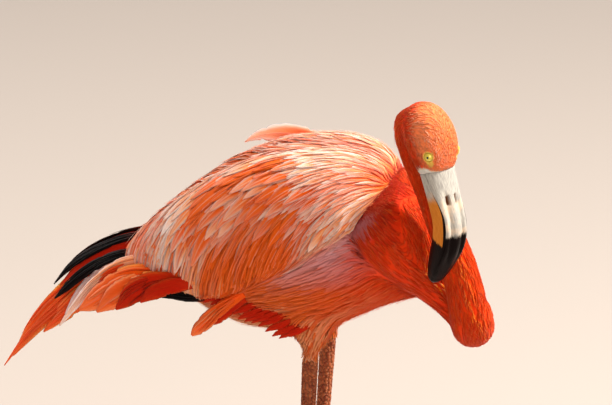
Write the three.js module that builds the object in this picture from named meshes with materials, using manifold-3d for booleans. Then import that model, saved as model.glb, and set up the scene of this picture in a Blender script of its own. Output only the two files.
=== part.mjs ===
// A Caribbean flamingo standing with its neck folded against the breast, life size.
// Millimetres, Z up. The bird faces -Y, its right side is -X, its soles are at Z = 0.
import * as THREE from "three";
import * as BufferGeometryUtils from "three/addons/utils/BufferGeometryUtils.js";
import Module from "manifold-3d";

const wasm = await Module();
wasm.setup();

// ---- driving dimensions ----
const GAP = 0.3; // clear gap between neighbouring bodies
const SMALLEST_DETAIL = 0.06; // slivers thinner than this are merged into their neighbours
const COVERT_DEPTH = 15; // thickness of a folded wing with its covert feathers
const WING_TOP_ANGLE = THREE.MathUtils.degToRad(7); // where a folded wing starts beside the spine
const HEAD_YAW = THREE.MathUtils.degToRad(33); // head turned to the bird's right
const HEAD_PITCH = THREE.MathUtils.degToRad(67); // head tipped below the horizontal
const HEAD_CENTRE = [-99, -151, 853]; // between the eyes
const EYE_RADIUS = 6.2;
const EYE_FORWARD = 12; // along the head from its centre
const EYE_RISE = 10.5; // above the head's centre line
const EYE_SPREAD = 15.9; // eye centre from the head's middle plane
const BILL_BASE = 31; // along the head, where horn takes over from feathers
const BILL_BEND = THREE.MathUtils.degToRad(48); // how far the outer half of the bill turns down
const BILL_STRAIGHT = 42; // base of the bill up to the bend
const BILL_ARC = 44; // length over which it bends
const BILL_TIP = 45; // straight part after the bend
const HOCK_HEIGHT = 318;
const KNEE_HEIGHT = 600;
const WEB_THICK = 3.2;
const CLAW_LENGTH = 8;

const PINK = 0xf58560;
const SCARLET = 0xd8431a;
const ORANGE = 0xe8602c;
const BLACK = 0x0d0708;
const IVORY = 0xe6ddcf;
const HORN_TAN = 0xc4762c;
const SHANK_COLOUR = 0x9a5540;
const YELLOW = 0xd8c93a;

const group = new THREE.Group();
group.name = "flamingo";

// ---- helpers ----
function material(colour, roughness) {
  return new THREE.MeshStandardMaterial({ color: colour, roughness, metalness: 0 });
}

// A place on the bird from its left-right, forward and height distances.
function place(left, forward, height) {
  return new THREE.Vector3(left, -forward, height);
}

// Closed solid from rings of points, with a fan at each end.
function skinRings(rings) {
  const around = rings[0].length;
  const positions = [];
  const index = [];
  for (const ring of rings) {
    for (const point of ring) {
      positions.push(point.x, point.y, point.z);
    }
  }
  for (let i = 0; i + 1 < rings.length; i += 1) {
    for (let j = 0; j < around; j += 1) {
      const next = (j + 1) % around;
      const a = i * around + j;
      const b = i * around + next;
      const c = a + around;
      const d = b + around;
      index.push(a, b, d, a, d, c);
    }
  }
  for (const last of [false, true]) {
    const ring = last ? rings[rings.length - 1] : rings[0];
    const start = last ? (rings.length - 1) * around : 0;
    const centre = new THREE.Vector3();
    ring.forEach((point) => centre.addScaledVector(point, 1 / around));
    const hub = positions.length / 3;
    positions.push(centre.x, centre.y, centre.z);
    for (let j = 0; j < around; j += 1) {
      const next = (j + 1) % around;
      if (last) {
        index.push(hub, start + j, start + next);
      } else {
        index.push(hub, start + next, start + j);
      }
    }
  }
  const geometry = new THREE.BufferGeometry();
  geometry.setAttribute("position", new THREE.Float32BufferAttribute(positions, 3));
  geometry.setIndex(index);
  return faceOut(geometry);
}

function signedVolume(geometry) {
  const point = geometry.getAttribute("position");
  const index = geometry.getIndex();
  const a = new THREE.Vector3();
  const b = new THREE.Vector3();
  const c = new THREE.Vector3();
  let volume = 0;
  for (let i = 0; i < index.count; i += 3) {
    a.fromBufferAttribute(point, index.getX(i));
    b.fromBufferAttribute(point, index.getX(i + 1));
    c.fromBufferAttribute(point, index.getX(i + 2));
    volume += a.dot(b.cross(c)) / 6;
  }
  return volume;
}

function faceOut(geometry) {
  if (signedVolume(geometry) > 0) {
    return geometry;
  }
  const index = geometry.getIndex();
  for (let i = 0; i < index.count; i += 3) {
    const first = index.getX(i);
    index.setX(i, index.getX(i + 1));
    index.setX(i + 1, first);
  }
  return geometry;
}

// Smooth run of stations. Each station is { at, wide, up, down }.
function stationCurve(stations) {
  const middle = new THREE.CatmullRomCurve3(stations.map((s) => s.at), false, "catmullrom", 0.5);
  const sizes = stations.map((s) => new THREE.Vector3(s.wide, s.up, s.down ?? s.up));
  const size = new THREE.CatmullRomCurve3(sizes, false, "catmullrom", 0.5);
  return { middle, size };
}

// Sections swept along stations. Each lies across the path, or across `across` if that is given.
// `start` and `end` cut the run to part of its length, and `grow` adds to every radius.
function sweep(stations, options) {
  const { steps, around, side, across, start = 0, end = 1, grow = 0, square = 2 } = options;
  const { middle, size } = stationCurve(stations);
  const rings = [];
  for (let i = 0; i <= steps; i += 1) {
    const t = start + ((end - start) * i) / steps;
    const centre = middle.getPoint(t);
    const radii = size.getPoint(t);
    const forward = across ? across.clone() : middle.getTangent(t);
    const sideways = side.clone().addScaledVector(forward, -side.dot(forward)).normalize();
    const upward = new THREE.Vector3().crossVectors(sideways, forward).normalize();
    const ring = [];
    for (let j = 0; j < around; j += 1) {
      const angle = (2 * Math.PI * j) / around;
      const s = Math.sin(angle);
      const c = Math.cos(angle);
      const wide = Math.max(radii.x, 0.4) + grow;
      const high = Math.max(c > 0 ? radii.y : radii.z, 0.4) + grow;
      const shape = 2 / square;
      const x = Math.sign(s) * Math.abs(s) ** shape * wide;
      const y = Math.sign(c) * Math.abs(c) ** shape * high;
      ring.push(centre.clone().addScaledVector(sideways, x).addScaledVector(upward, y));
    }
    rings.push(ring);
  }
  return skinRings(rings);
}

function toManifold(geometry) {
  const bare = geometry.clone();
  bare.deleteAttribute("normal");
  bare.deleteAttribute("uv");
  const merged = BufferGeometryUtils.mergeVertices(bare, 1e-4);
  return new wasm.Manifold(
    new wasm.Mesh({
      numProp: 3,
      vertProperties: new Float32Array(merged.getAttribute("position").array),
      triVerts: new Uint32Array(merged.getIndex().array),
    }),
  );
}

function fromManifold(solid) {
  const mesh = solid.getMesh();
  const geometry = new THREE.BufferGeometry();
  geometry.setAttribute("position", new THREE.Float32BufferAttribute(mesh.vertProperties, 3));
  geometry.setIndex(new THREE.Uint32BufferAttribute(mesh.triVerts, 1));
  return geometry;
}

// One body with others taken away from it. The largest piece left is the part.
function cut(geometry, ...tools) {
  let solid = toManifold(geometry);
  for (const tool of tools) {
    solid = solid.subtract(toManifold(tool));
  }
  const pieces = solid.simplify(SMALLEST_DETAIL).decompose();
  pieces.sort((a, b) => fromVolume(b) - fromVolume(a));
  return fromManifold(pieces[0]);
}

function fromVolume(solid) {
  return signedVolume(fromManifold(solid));
}

function join(...geometries) {
  let solid = toManifold(geometries[0]);
  for (const geometry of geometries.slice(1)) {
    solid = solid.add(toManifold(geometry));
  }
  return fromManifold(solid.simplify(SMALLEST_DETAIL));
}

function add(name, geometry, colour, roughness) {
  const mesh = new THREE.Mesh(geometry, material(colour, roughness));
  mesh.name = name;
  group.add(mesh);
  return mesh;
}

// ---- trunk ----
// Forward distance, height of the middle, half width, height above and below the middle.
const TRUNK = [
  [-226, 650, 7, 6, 6],
  [-210, 655, 24, 18, 16],
  [-185, 664, 38, 34, 32],
  [-150, 675, 52, 53, 56],
  [-100, 688, 67, 77, 98],
  [-50, 697, 77, 93, 113],
  [0, 702, 82, 99, 117],
  [45, 706, 81, 96, 99],
  [80, 706, 68, 84, 80],
  [106, 698, 50, 60, 63],
  [124, 688, 33, 36, 48],
  [135, 677, 13, 13, 26],
];
const trunkStations = TRUNK.map(([along, height, wide, up, down]) => ({
  at: place(0, along, height),
  wide,
  up,
  down,
}));
const TRUNK_SWEEP = {
  steps: 15,
  around: 22,
  side: new THREE.Vector3(-1, 0, 0),
  across: new THREE.Vector3(0, -1, 0),
  square: 2.15,
};
const trunk = sweep(trunkStations, TRUNK_SWEEP);
const trunkGrown = sweep(trunkStations, { ...TRUNK_SWEEP, grow: GAP });

// ---- neck ----
// Left, forward, height, radius: from the swelling at the shoulder down to the bend and up again
// to the back of the head.
const NECK = [
  [-55, 65, 768, 6],
  [-53, 68, 763, 24],
  [-48, 77, 751, 40],
  [-42, 89, 735, 47],
  [-35, 101, 719, 47],
  [-25, 115, 698, 42],
  [-16, 129, 679, 35],
  [-8, 142, 661, 30],
  [-3, 154, 645, 27],
  [-9, 168, 633, 25.5],
  [-30, 178, 629, 24.5],
  [-52, 183, 638, 23.5],
  [-64, 182, 660, 22.5],
  [-66, 174, 700, 21],
  [-71, 158, 748, 18.5],
  [-70, 141, 788, 16.5],
  [-70, 127, 819, 16],
  [-76, 121, 845, 17],
  [-87, 124, 864, 17.5],
  [-94, 134, 872, 15],
];
const neckStations = NECK.map(([left, along, height, radius]) => ({
  at: place(left, along, height),
  wide: radius,
  up: radius,
}));
const NECK_SIDE = new THREE.Vector3(0.35, 1, 0.1).normalize();
const LOOP_START = 8 / 19;
const LOOP_END = 12.5 / 19;
const JOINT = 0.0012; // half of the gap between two lengths, in the run's own measure
function neckLength(start, end, steps, grow = 0) {
  return sweep(neckStations, { steps, around: 16, side: NECK_SIDE, start, end, grow });
}
const neckLower = cut(neckLength(0, LOOP_START - JOINT, 10), trunkGrown);
const neckLowerGrown = neckLength(0, LOOP_START - JOINT, 10, GAP);
const neckMiddle = cut(neckLength(LOOP_START + JOINT, LOOP_END - JOINT, 9), neckLowerGrown);
const neckMiddleGrown = neckLength(LOOP_START + JOINT, LOOP_END - JOINT, 9, GAP);
const neckUpperGrown = neckLength(LOOP_END + JOINT, 1, 9, GAP);
const neckUpper = cut(neckLength(LOOP_END + JOINT, 1, 9), neckMiddleGrown, neckLowerGrown);

// ---- head, in its own axes ----
const headForward = place(-Math.sin(HEAD_YAW), Math.cos(HEAD_YAW), 0);
const DOWN = new THREE.Vector3(0, 0, -1);
const headAlong = headForward
  .clone()
  .multiplyScalar(Math.cos(HEAD_PITCH))
  .addScaledVector(DOWN, Math.sin(HEAD_PITCH));
const headUp = headForward
  .clone()
  .multiplyScalar(Math.sin(HEAD_PITCH))
  .addScaledVector(DOWN, -Math.cos(HEAD_PITCH));
const headRight = new THREE.Vector3().crossVectors(headAlong, headUp).normalize();
const headCentre = new THREE.Vector3(...HEAD_CENTRE);

function inHead(along, up, right = 0) {
  return headCentre
    .clone()
    .addScaledVector(headAlong, along)
    .addScaledVector(headUp, up)
    .addScaledVector(headRight, right);
}

// Distance along the head, rise of the middle, half width, height above and below it.
const HEAD = [
  [-41, -6, 4, 4, 4],
  [-36, -5, 16, 15, 14],
  [-25, -4, 23, 24, 22],
  [-10, -2, 26, 27.5, 26],
  [4, 0, 26.2, 26, 26.5],
  [17, 0, 24, 20.5, 24.5],
  [27, -1, 20.5, 16, 20.5],
  [BILL_BASE, -2, 19, 14, 18.5],
];
const headStations = HEAD.map(([along, rise, wide, up, down]) => ({
  at: inHead(along, rise),
  wide,
  up,
  down,
}));
const HEAD_SWEEP = { steps: 10, around: 16, side: headRight, across: headAlong, square: 2.1 };

// ---- bill ----
// The bill's middle line is straight, bends down and runs straight again to the tip.
const BILL_LENGTH = BILL_STRAIGHT + BILL_ARC + BILL_TIP;
function billPoint(distance) {
  const radius = BILL_ARC / BILL_BEND;
  const along = Math.min(distance, BILL_STRAIGHT);
  const turned = THREE.MathUtils.clamp((distance - BILL_STRAIGHT) / BILL_ARC, 0, 1) * BILL_BEND;
  const beyond = Math.max(distance - BILL_STRAIGHT - BILL_ARC, 0);
  const forward = along + radius * Math.sin(turned) + beyond * Math.cos(turned);
  const drop = radius * (1 - Math.cos(turned)) + beyond * Math.sin(turned);
  return { at: inHead(BILL_BASE + forward, -2 - drop), turned };
}

// Fraction of the length, half width, height of the upper bill above the mouth line,
// depth of the lower bill below it, and where the mouth line lies above the middle.
const BILL = [
  [0, 18.2, 13, 18, 0],
  [0.16, 17.2, 9.5, 20.5, 1.5],
  [0.34, 16.4, 7, 24, 3],
  [0.5, 16, 6.5, 25.5, 3.6],
  [0.64, 15.2, 6.5, 24, 3],
  [0.78, 13.4, 6.5, 19, 1.5],
  [0.9, 10.4, 6, 13, -0.5],
  [0.97, 6.8, 4.5, 7, -2],
  [1, 2.6, 2, 2.4, -3],
];

function billRings(upper) {
  const curve = new THREE.CatmullRomCurve3(
    BILL.map(([, wide, up, down]) => new THREE.Vector3(wide, up, down)),
    false,
    "catmullrom",
    0.5,
  );
  const lines = new THREE.CatmullRomCurve3(
    BILL.map(([part, , , , line]) => new THREE.Vector3(part, line, 0)),
    false,
    "catmullrom",
    0.5,
  );
  const steps = 11;
  const arc = 8;
  const rings = [];
  for (let i = 0; i <= steps; i += 1) {
    const t = i / steps;
    const { x: wide, y: up, z: down } = curve.getPoint(t);
    const { x: part, y: line } = lines.getPoint(t);
    const { at, turned } = billPoint(GAP + part * (BILL_LENGTH - GAP));
    const rise = headUp
      .clone()
      .multiplyScalar(Math.cos(turned))
      .addScaledVector(headAlong, Math.sin(turned));
    const half = upper ? up : down;
    const sign = upper ? 1 : -1;
    const ring = [];
    for (let j = 0; j <= arc; j += 1) {
      const angle = (Math.PI * j) / arc - Math.PI / 2;
      const x = Math.sin(angle) * wide * (upper ? 1 : 0.97);
      const lift = line + sign * (GAP / 2 + 0.4 + Math.abs(Math.cos(angle)) ** 0.8 * half);
      ring.push(at.clone().addScaledVector(headRight, x).addScaledVector(rise, lift));
    }
    for (let j = 1; j < 4; j += 1) {
      const x = wide * (upper ? 1 : 0.97) * (1 - j / 2);
      const lift = line + (sign * GAP) / 2;
      ring.push(at.clone().addScaledVector(headRight, x).addScaledVector(rise, lift));
    }
    rings.push(ring);
  }
  return skinRings(rings);
}

function eyeBall(right, grow = 0) {
  const ball = new THREE.SphereGeometry(EYE_RADIUS + grow, 10, 7);
  const centre = inHead(EYE_FORWARD, EYE_RISE, right * EYE_SPREAD);
  ball.translate(centre.x, centre.y, centre.z);
  return ball;
}

const head = cut(
  sweep(headStations, HEAD_SWEEP),
  neckUpperGrown,
  eyeBall(1, GAP),
  eyeBall(-1, GAP),
);

// ---- folded wings ----
// Forward distance, height of the lower edge, share of the covert depth.
const WING = [
  [-222, 640, 0.25],
  [-205, 632, 0.5],
  [-184, 629, 0.75],
  [-145, 634, 0.9],
  [-112, 634, 1],
  [-78, 647, 1],
  [-39, 677, 1],
  [0, 698, 1],
  [37, 719, 0.9],
  [62, 741, 0.6],
  [84, 762, 0.3],
];

function wingShell(side, grow = 0) {
  const { middle, size } = stationCurve(trunkStations);
  const steps = 12;
  const arc = 9;
  const table = new THREE.CatmullRomCurve3(
    WING.map(([along, edge, share]) => new THREE.Vector3(along, edge, share * 100)),
    false,
    "catmullrom",
    0.5,
  );
  const rings = [];
  for (let i = 0; i <= steps; i += 1) {
    const { x: along, y: edge, z: share } = table.getPoint(i / steps);
    const t = stationAt(middle, along);
    const centre = middle.getPoint(t);
    const radii = size.getPoint(t);
    const depth = (COVERT_DEPTH * Math.max(share, 8)) / 100;
    const fall = (edge - centre.z) / (edge > centre.z ? radii.y : radii.z);
    const lowest = Math.acos(THREE.MathUtils.clamp(fall, -0.95, 0.98));
    const outer = [];
    const inner = [];
    for (let j = 0; j <= arc; j += 1) {
      const portion = j / arc;
      const angle = WING_TOP_ANGLE + (lowest - WING_TOP_ANGLE) * portion;
      const bulge = 0.3 + 0.7 * Math.sin(Math.PI * (0.03 + 0.94 * portion)) ** 0.55;
      const up = Math.cos(angle) > 0 ? radii.y : radii.z;
      const shell = (thick) => {
        const shape = 2 / TRUNK_SWEEP.square;
        const x = Math.abs(Math.sin(angle)) ** shape * (radii.x + thick);
        const z = Math.sign(Math.cos(angle)) * Math.abs(Math.cos(angle)) ** shape * (up + thick);
        return new THREE.Vector3(side * x, centre.y, centre.z + z);
      };
      outer.push(shell(depth * bulge + 1 + grow));
      inner.push(shell(-3));
    }
    rings.push([...outer, ...inner.reverse()]);
  }
  return skinRings(rings);
}

// The share of the trunk's run at which it reaches a forward distance.
function stationAt(curve, along) {
  let low = 0;
  let high = 1;
  for (let i = 0; i < 30; i += 1) {
    const half = (low + high) / 2;
    if (-curve.getPoint(half).y < along) {
      low = half;
    } else {
      high = half;
    }
  }
  return (low + high) / 2;
}

// ---- long feathers behind the wings ----
// Paths of [out from the middle, forward, height, half width, half thickness].
const VANES = {
  primary_upper: {
    colour: BLACK,
    tilt: 40,
    path: [
      [9, -180, 684, 8, 2],
      [12, -225, 668, 9.5, 2],
      [13, -262, 645, 9, 1.8],
      [13, -280, 628, 6.5, 1.5],
      [13, -290, 615, 1.5, 0.8],
    ],
  },
  primary_lower: {
    colour: BLACK,
    tilt: 30,
    path: [
      [22, -180, 668, 8, 2],
      [25, -225, 655, 10, 2],
      [26, -258, 631, 9.5, 1.8],
      [26, -274, 616, 6.5, 1.5],
      [26, -284, 605, 1.5, 0.8],
    ],
  },
  primary_under: {
    colour: BLACK,
    tilt: 0,
    path: [
      [44, -90, 634, 6, 2],
      [50, -130, 627, 6, 2],
      [50, -165, 628, 6, 1.8],
      [48, -190, 624, 4, 1.5],
      [47, -199, 620, 1.5, 0.8],
    ],
  },
  plume_long: {
    colour: ORANGE,
    tilt: 20,
    path: [
      [17, -190, 652, 12, 2.4],
      [18, -245, 629, 15, 2.4],
      [19, -285, 596, 14, 2],
      [20, -320, 556, 10, 1.6],
      [20, -347, 516, 1.5, 0.8],
    ],
  },
  plume_middle: {
    colour: ORANGE,
    tilt: 15,
    path: [
      [36, -180, 664, 10, 2.4],
      [40, -210, 653, 13, 2.4],
      [40, -240, 626, 11, 2],
      [40, -261, 600, 7, 1.6],
      [40, -276, 577, 1.5, 0.8],
    ],
  },
  plume_broad: {
    colour: ORANGE,
    tilt: 15,
    path: [
      [50, -160, 655, 12, 2.4],
      [52, -195, 644, 19, 2.4],
      [53, -222, 625, 17, 2],
      [53, -240, 612, 10, 1.6],
      [52, -250, 603, 2, 0.8],
    ],
  },
  plume_short: {
    colour: SCARLET,
    tilt: 5,
    path: [
      [62, -150, 650, 12, 2.4],
      [64, -172, 644, 14, 2.4],
      [64, -188, 632, 12, 2],
      [63, -198, 622, 7, 1.6],
      [62, -204, 614, 1.5, 0.8],
    ],
  },
  plume_flank: {
    colour: ORANGE,
    tilt: 0,
    path: [
      [66, -70, 650, 9, 2.4],
      [66, -92, 625, 12, 2.4],
      [64, -107, 608, 11, 2],
      [62, -117, 598, 6, 1.6],
      [61, -122, 592, 1.5, 0.8],
    ],
  },
};
const TAIL = [
  [-190, 658, 18, 6],
  [-215, 640, 26, 6],
  [-240, 620, 24, 4],
  [-256, 607, 16, 2.5],
  [-262, 602, 3, 1],
];

function vane(side, { path, tilt }, grow = 0) {
  const lean = THREE.MathUtils.degToRad(tilt);
  const stations = path.map(([out, along, height, half, thick]) => ({
    at: place(side * out, along, height),
    wide: half,
    up: thick,
  }));
  const breadth = new THREE.Vector3(-side * Math.sin(lean), 0, Math.cos(lean));
  return sweep(stations, { steps: 6, around: 6, side: breadth, grow });
}

function tailFan(grow = 0) {
  const stations = TAIL.map(([along, height, wide, up]) => ({
    at: place(0, along, height),
    wide,
    up,
  }));
  return sweep(stations, { steps: 5, around: 10, side: new THREE.Vector3(1, 0, 0), grow });
}

// ---- legs ----
const THIGH_BOTTOM = 576;
const FOOT_TOP = 24;
const LEG = {
  right: { hip: [34, 3], hock: [34, -8], foot: [36, -26] },
  left: { hip: [35, 3], hock: [30, -14], foot: [36, -28] },
};

// Height, half width and half depth of the bare leg from inside the thigh to the foot.
const SHANK = [
  [612, 8, 8],
  [590, 8.4, 8.8],
  [560, 8, 8.6],
  [500, 7.2, 7.6],
  [420, 6.6, 7],
  [356, 6.8, 7.4],
  [334, 9.4, 11.6],
  [318, 10.6, 13.6],
  [300, 9, 11.4],
  [278, 6.4, 7.2],
  [180, 5.8, 6.4],
  [80, 6, 6.6],
  [40, 6.8, 7.4],
  [FOOT_TOP, 7.6, 8.6],
];

function legPoint(side, pose, height) {
  const [hip, hock, foot] = [pose.hip, pose.hock, pose.foot];
  const upper = height > HOCK_HEIGHT;
  const share = upper
    ? (KNEE_HEIGHT - height) / (KNEE_HEIGHT - HOCK_HEIGHT)
    : (HOCK_HEIGHT - height) / HOCK_HEIGHT;
  const [from, to] = upper ? [hip, hock] : [hock, foot];
  const out = THREE.MathUtils.lerp(from[0], to[0], share);
  const along = THREE.MathUtils.lerp(from[1], to[1], share);
  return place(side * out, along, height);
}

function shank(side, pose, start, end, steps, grow = 0) {
  const stations = SHANK.map(([height, wide, deep]) => ({
    at: legPoint(side, pose, height),
    wide,
    up: deep,
  }));
  return sweep(stations, {
    steps,
    around: 10,
    side: new THREE.Vector3(1, 0, 0),
    across: DOWN,
    start: start / (SHANK.length - 1),
    end: end / (SHANK.length - 1),
    grow,
  });
}

// Height, half width, half depth and shift forward of the feathered thigh.
const THIGH = [
  [668, 34, 52, -12],
  [640, 34, 50, -8],
  [615, 29, 41, -3],
  [598, 20, 27, 1],
  [585, 13, 15.5, 1],
  [THIGH_BOTTOM, 10, 10.6, 1],
];

function thigh(side, pose) {
  const stations = THIGH.map(([height, wide, deep, shift]) => {
    const at = legPoint(side, pose, height);
    at.y -= shift;
    return { at, wide, up: deep };
  });
  return sweep(stations, { steps: 7, around: 12, side: new THREE.Vector3(1, 0, 0) });
}

// ---- feet ----
// Turn outward in degrees, length and half width of each front toe.
const TOES = [
  [-18, 74, 4.6],
  [12, 86, 5],
  [42, 80, 4.8],
];

function toeLine(side, turn, length) {
  const angle = THREE.MathUtils.degToRad(turn);
  return (distance, height) =>
    place(side * Math.sin(angle) * distance, Math.cos(angle) * distance, height);
}

function toe(side, turn, length, half) {
  const at = toeLine(side, turn);
  const knuckles = [
    [0, 5.2, half + 1],
    [0.22, 4.2, half],
    [0.34, 4.4, half + 0.5],
    [0.52, 3.9, half - 0.5],
    [0.66, 4, half],
    [0.84, 3.5, half - 0.8],
    [0.94, 3.4, half - 0.6],
    [1, 3, half - 1.6],
  ];
  const stations = knuckles.map(([share, high, wide]) => ({
    at: at(share * length, high * 0.8),
    wide,
    up: high,
    down: high,
  }));
  const sideways = at(1, 0).cross(new THREE.Vector3(0, 0, 1));
  return sweep(stations, { steps: 6, around: 6, side: sideways, square: 2.3 });
}

function claw(side, turn, length, half) {
  const at = toeLine(side, turn);
  const start = length + GAP + 0.1;
  const stations = [
    { at: at(start, 3.2), wide: half - 2, up: 2.4 },
    { at: at(start + CLAW_LENGTH * 0.5, 3), wide: half - 2.6, up: 2 },
    { at: at(start + CLAW_LENGTH * 0.9, 1.6), wide: 0.9, up: 1 },
    { at: at(start + CLAW_LENGTH, 1.2), wide: 0.5, up: 0.6 },
  ];
  const sideways = at(1, 0).cross(new THREE.Vector3(0, 0, 1));
  return sweep(stations, { steps: 3, around: 6, side: sideways });
}

function web(side) {
  const edge = [];
  TOES.forEach(([turn, length], i) => {
    edge.push(toeLine(side, turn)(length * 0.86, 0));
    if (i + 1 < TOES.length) {
      const middle = (turn + TOES[i + 1][0]) / 2;
      edge.push(toeLine(side, middle)(Math.min(length, TOES[i + 1][1]) * 0.66, 0));
    }
  });
  const outline = new THREE.Shape();
  outline.moveTo(0, 0);
  edge.forEach((point) => outline.lineTo(point.x, point.y));
  const plate = new THREE.ExtrudeGeometry(outline, { depth: WEB_THICK, bevelEnabled: false });
  plate.translate(0, 0, 0.5);
  return plate;
}

const HALLUX = [192, 20, 3.4];

function foot(side, pose) {
  const base = [
    { at: new THREE.Vector3(0, 0, 1), wide: 8.5, up: 10 },
    { at: new THREE.Vector3(0, 0, 8), wide: 8.5, up: 10 },
    { at: new THREE.Vector3(0, 0, 16), wide: 7.8, up: 9 },
    { at: new THREE.Vector3(0, 0, FOOT_TOP + 4), wide: 7.6, up: 8.6 },
  ];
  const ankle = sweep(base, { steps: 3, around: 10, side: new THREE.Vector3(1, 0, 0) });
  const toes = [...TOES, HALLUX].map(([turn, length, half]) => toe(side, turn, length, half));
  const whole = join(ankle, web(side), ...toes);
  const below = new THREE.BoxGeometry(300, 300, 40).translate(0, 0, -20);
  const above = new THREE.BoxGeometry(60, 60, 40).translate(0, 0, 20 + FOOT_TOP - GAP);
  const shaped = cut(whole, below, above);
  const [out, along] = pose.foot;
  const spot = place(side * out, along, 0);
  shaped.translate(spot.x, spot.y, 0);
  return { shaped, spot };
}

const SIDES = [
  ["right", -1],
  ["left", 1],
];

add("trunk", trunk, PINK, 0.8);
add("neck_lower", neckLower, SCARLET, 0.8);
add("neck_middle", neckMiddle, SCARLET, 0.8);
add("neck_upper", neckUpper, SCARLET, 0.8);
add("head", head, SCARLET, 0.8);
add("bill_upper", billRings(true), IVORY, 0.35);
add("bill_lower", billRings(false), HORN_TAN, 0.35);
const wingGrown = SIDES.map(([, side]) => wingShell(side, GAP));
const tail = cut(tailFan(), trunkGrown, ...wingGrown);
add("tail", tail, ORANGE, 0.8);

SIDES.forEach(([name, side], i) => {
  const pose = LEG[name];
  add(`eye_${name}`, eyeBall(-side), YELLOW, 0.2);
  add(`wing_${name}`, cut(wingShell(side), trunkGrown, neckLowerGrown), PINK, 0.8);
  const tools = [trunkGrown, wingGrown[i], tailFan(GAP)];
  for (const [vaneName, shape] of Object.entries(VANES)) {
    add(`${vaneName}_${name}`, cut(vane(side, shape), ...tools), shape.colour, 0.7);
    tools.push(vane(side, shape, GAP));
  }
  const hockStart = 5.4;
  const hockEnd = 9;
  const seam = 0.02;
  const tibia = cut(shank(side, pose, 0, hockStart - seam, 7), trunkGrown);
  add(`tibia_${name}`, tibia, SHANK_COLOUR, 0.6);
  add(`hock_${name}`, shank(side, pose, hockStart + seam, hockEnd - seam, 6), SHANK_COLOUR, 0.6);
  add(`tarsus_${name}`, shank(side, pose, hockEnd + seam, 13, 6), SHANK_COLOUR, 0.6);
  const tibiaGrown = shank(side, pose, 0, hockStart - seam, 7, GAP);
  add(`thigh_${name}`, cut(thigh(side, pose), trunkGrown, tibiaGrown), PINK, 0.8);
  const { shaped, spot } = foot(side, pose);
  add(`foot_${name}`, shaped, SHANK_COLOUR, 0.6);
  TOES.forEach(([turn, length, half], toeIndex) => {
    const horn = claw(side, turn, length, half);
    horn.translate(spot.x, spot.y, 0);
    add(`claw_${name}_${toeIndex + 1}`, horn, BLACK, 0.4);
  });
});

// The model stands with the middle of its bounding box over the origin.
const bounds = new THREE.Box3().setFromObject(group);
const middle = bounds.getCenter(new THREE.Vector3());
group.position.set(-middle.x, -middle.y, -bounds.min.z);

export default group;
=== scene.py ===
# %% [markdown]
# # A Caribbean flamingo, feather by feather
# This lesson dresses a plain solid model of a standing flamingo. The solids give the true outline
# of each part of the body. We turn them into one smooth skin, lay thousands of small modelled
# feathers over it, and finish the horn of the bill, the eyes and the scaled legs.
# Everything is in metres. Z is up, the bird faces -Y and its right side is -X.

# %% Load the solid model
import math

import bpy
import bmesh
import numpy as np
from mathutils import Matrix, Vector
from mathutils.bvhtree import BVHTree
from mathutils.kdtree import KDTree


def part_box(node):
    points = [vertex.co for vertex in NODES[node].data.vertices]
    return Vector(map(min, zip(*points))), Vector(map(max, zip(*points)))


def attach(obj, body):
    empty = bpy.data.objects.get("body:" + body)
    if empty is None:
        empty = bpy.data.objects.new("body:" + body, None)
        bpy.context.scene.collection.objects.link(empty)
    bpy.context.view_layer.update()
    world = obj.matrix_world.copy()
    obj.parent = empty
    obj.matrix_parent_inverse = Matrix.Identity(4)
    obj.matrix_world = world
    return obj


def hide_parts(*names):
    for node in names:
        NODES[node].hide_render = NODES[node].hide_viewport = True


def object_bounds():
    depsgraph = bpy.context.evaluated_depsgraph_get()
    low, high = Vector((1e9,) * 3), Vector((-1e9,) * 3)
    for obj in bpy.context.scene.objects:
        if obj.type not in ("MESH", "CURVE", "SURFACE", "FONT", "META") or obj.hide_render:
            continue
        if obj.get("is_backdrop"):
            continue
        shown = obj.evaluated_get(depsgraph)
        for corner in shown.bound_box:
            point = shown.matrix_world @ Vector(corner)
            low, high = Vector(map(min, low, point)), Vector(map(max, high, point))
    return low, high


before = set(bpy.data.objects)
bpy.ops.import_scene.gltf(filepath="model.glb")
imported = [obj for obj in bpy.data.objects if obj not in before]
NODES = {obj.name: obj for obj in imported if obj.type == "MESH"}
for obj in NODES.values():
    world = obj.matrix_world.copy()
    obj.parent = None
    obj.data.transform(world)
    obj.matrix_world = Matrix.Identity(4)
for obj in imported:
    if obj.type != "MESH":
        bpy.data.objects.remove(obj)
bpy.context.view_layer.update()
MM = 0.001
SIDES = {"right": -1, "left": 1}


def new_object(name, data):
    """An object for a mesh, a lamp or a camera, placed in the scene."""
    made = bpy.data.objects.new(name, data)
    bpy.context.scene.collection.objects.link(made)
    return made


# %% [markdown]
# ## Where things are
# The solid model stands with the middle of its box over the origin. On the bird it is handier to
# measure from the middle plane and from the hips, so we keep that shift and small functions that
# turn left, forward and height distances in millimetres into scene points and back.

# %% Bird axes
TRUNK_MIDDLE = -45.5  # the trunk's solid has its middle this far forward of the hips, in mm
trunk_low, trunk_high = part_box("trunk")
MID_X = (trunk_low.x + trunk_high.x) / 2
HIP_Y = (trunk_low.y + trunk_high.y) / 2 + TRUNK_MIDDLE * MM


def place(left, forward, height):
    """A point of the scene, from distances in mm on the bird."""
    return Vector((MID_X + left * MM, HIP_Y - forward * MM, height * MM))


def to_scene(points):
    """An array of left, forward, height in mm as scene points."""
    points = np.asarray(points, float)
    moved = np.stack([points[..., 0], -points[..., 1], points[..., 2]], -1) * MM
    return moved + np.array([MID_X, HIP_Y, 0.0])


def to_bird(points):
    """Scene points as left, forward, height in mm."""
    moved = (points - np.array([MID_X, HIP_Y, 0.0])) / MM
    return np.stack([moved[..., 0], -moved[..., 1], moved[..., 2]], -1)


def unit(vectors):
    """The same directions, each with a length of one."""
    return vectors / (np.linalg.norm(vectors, axis=-1, keepdims=True) + 1e-12)


print("middle plane at x =", round(MID_X, 4), "hips at y =", round(HIP_Y, 4))

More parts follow.
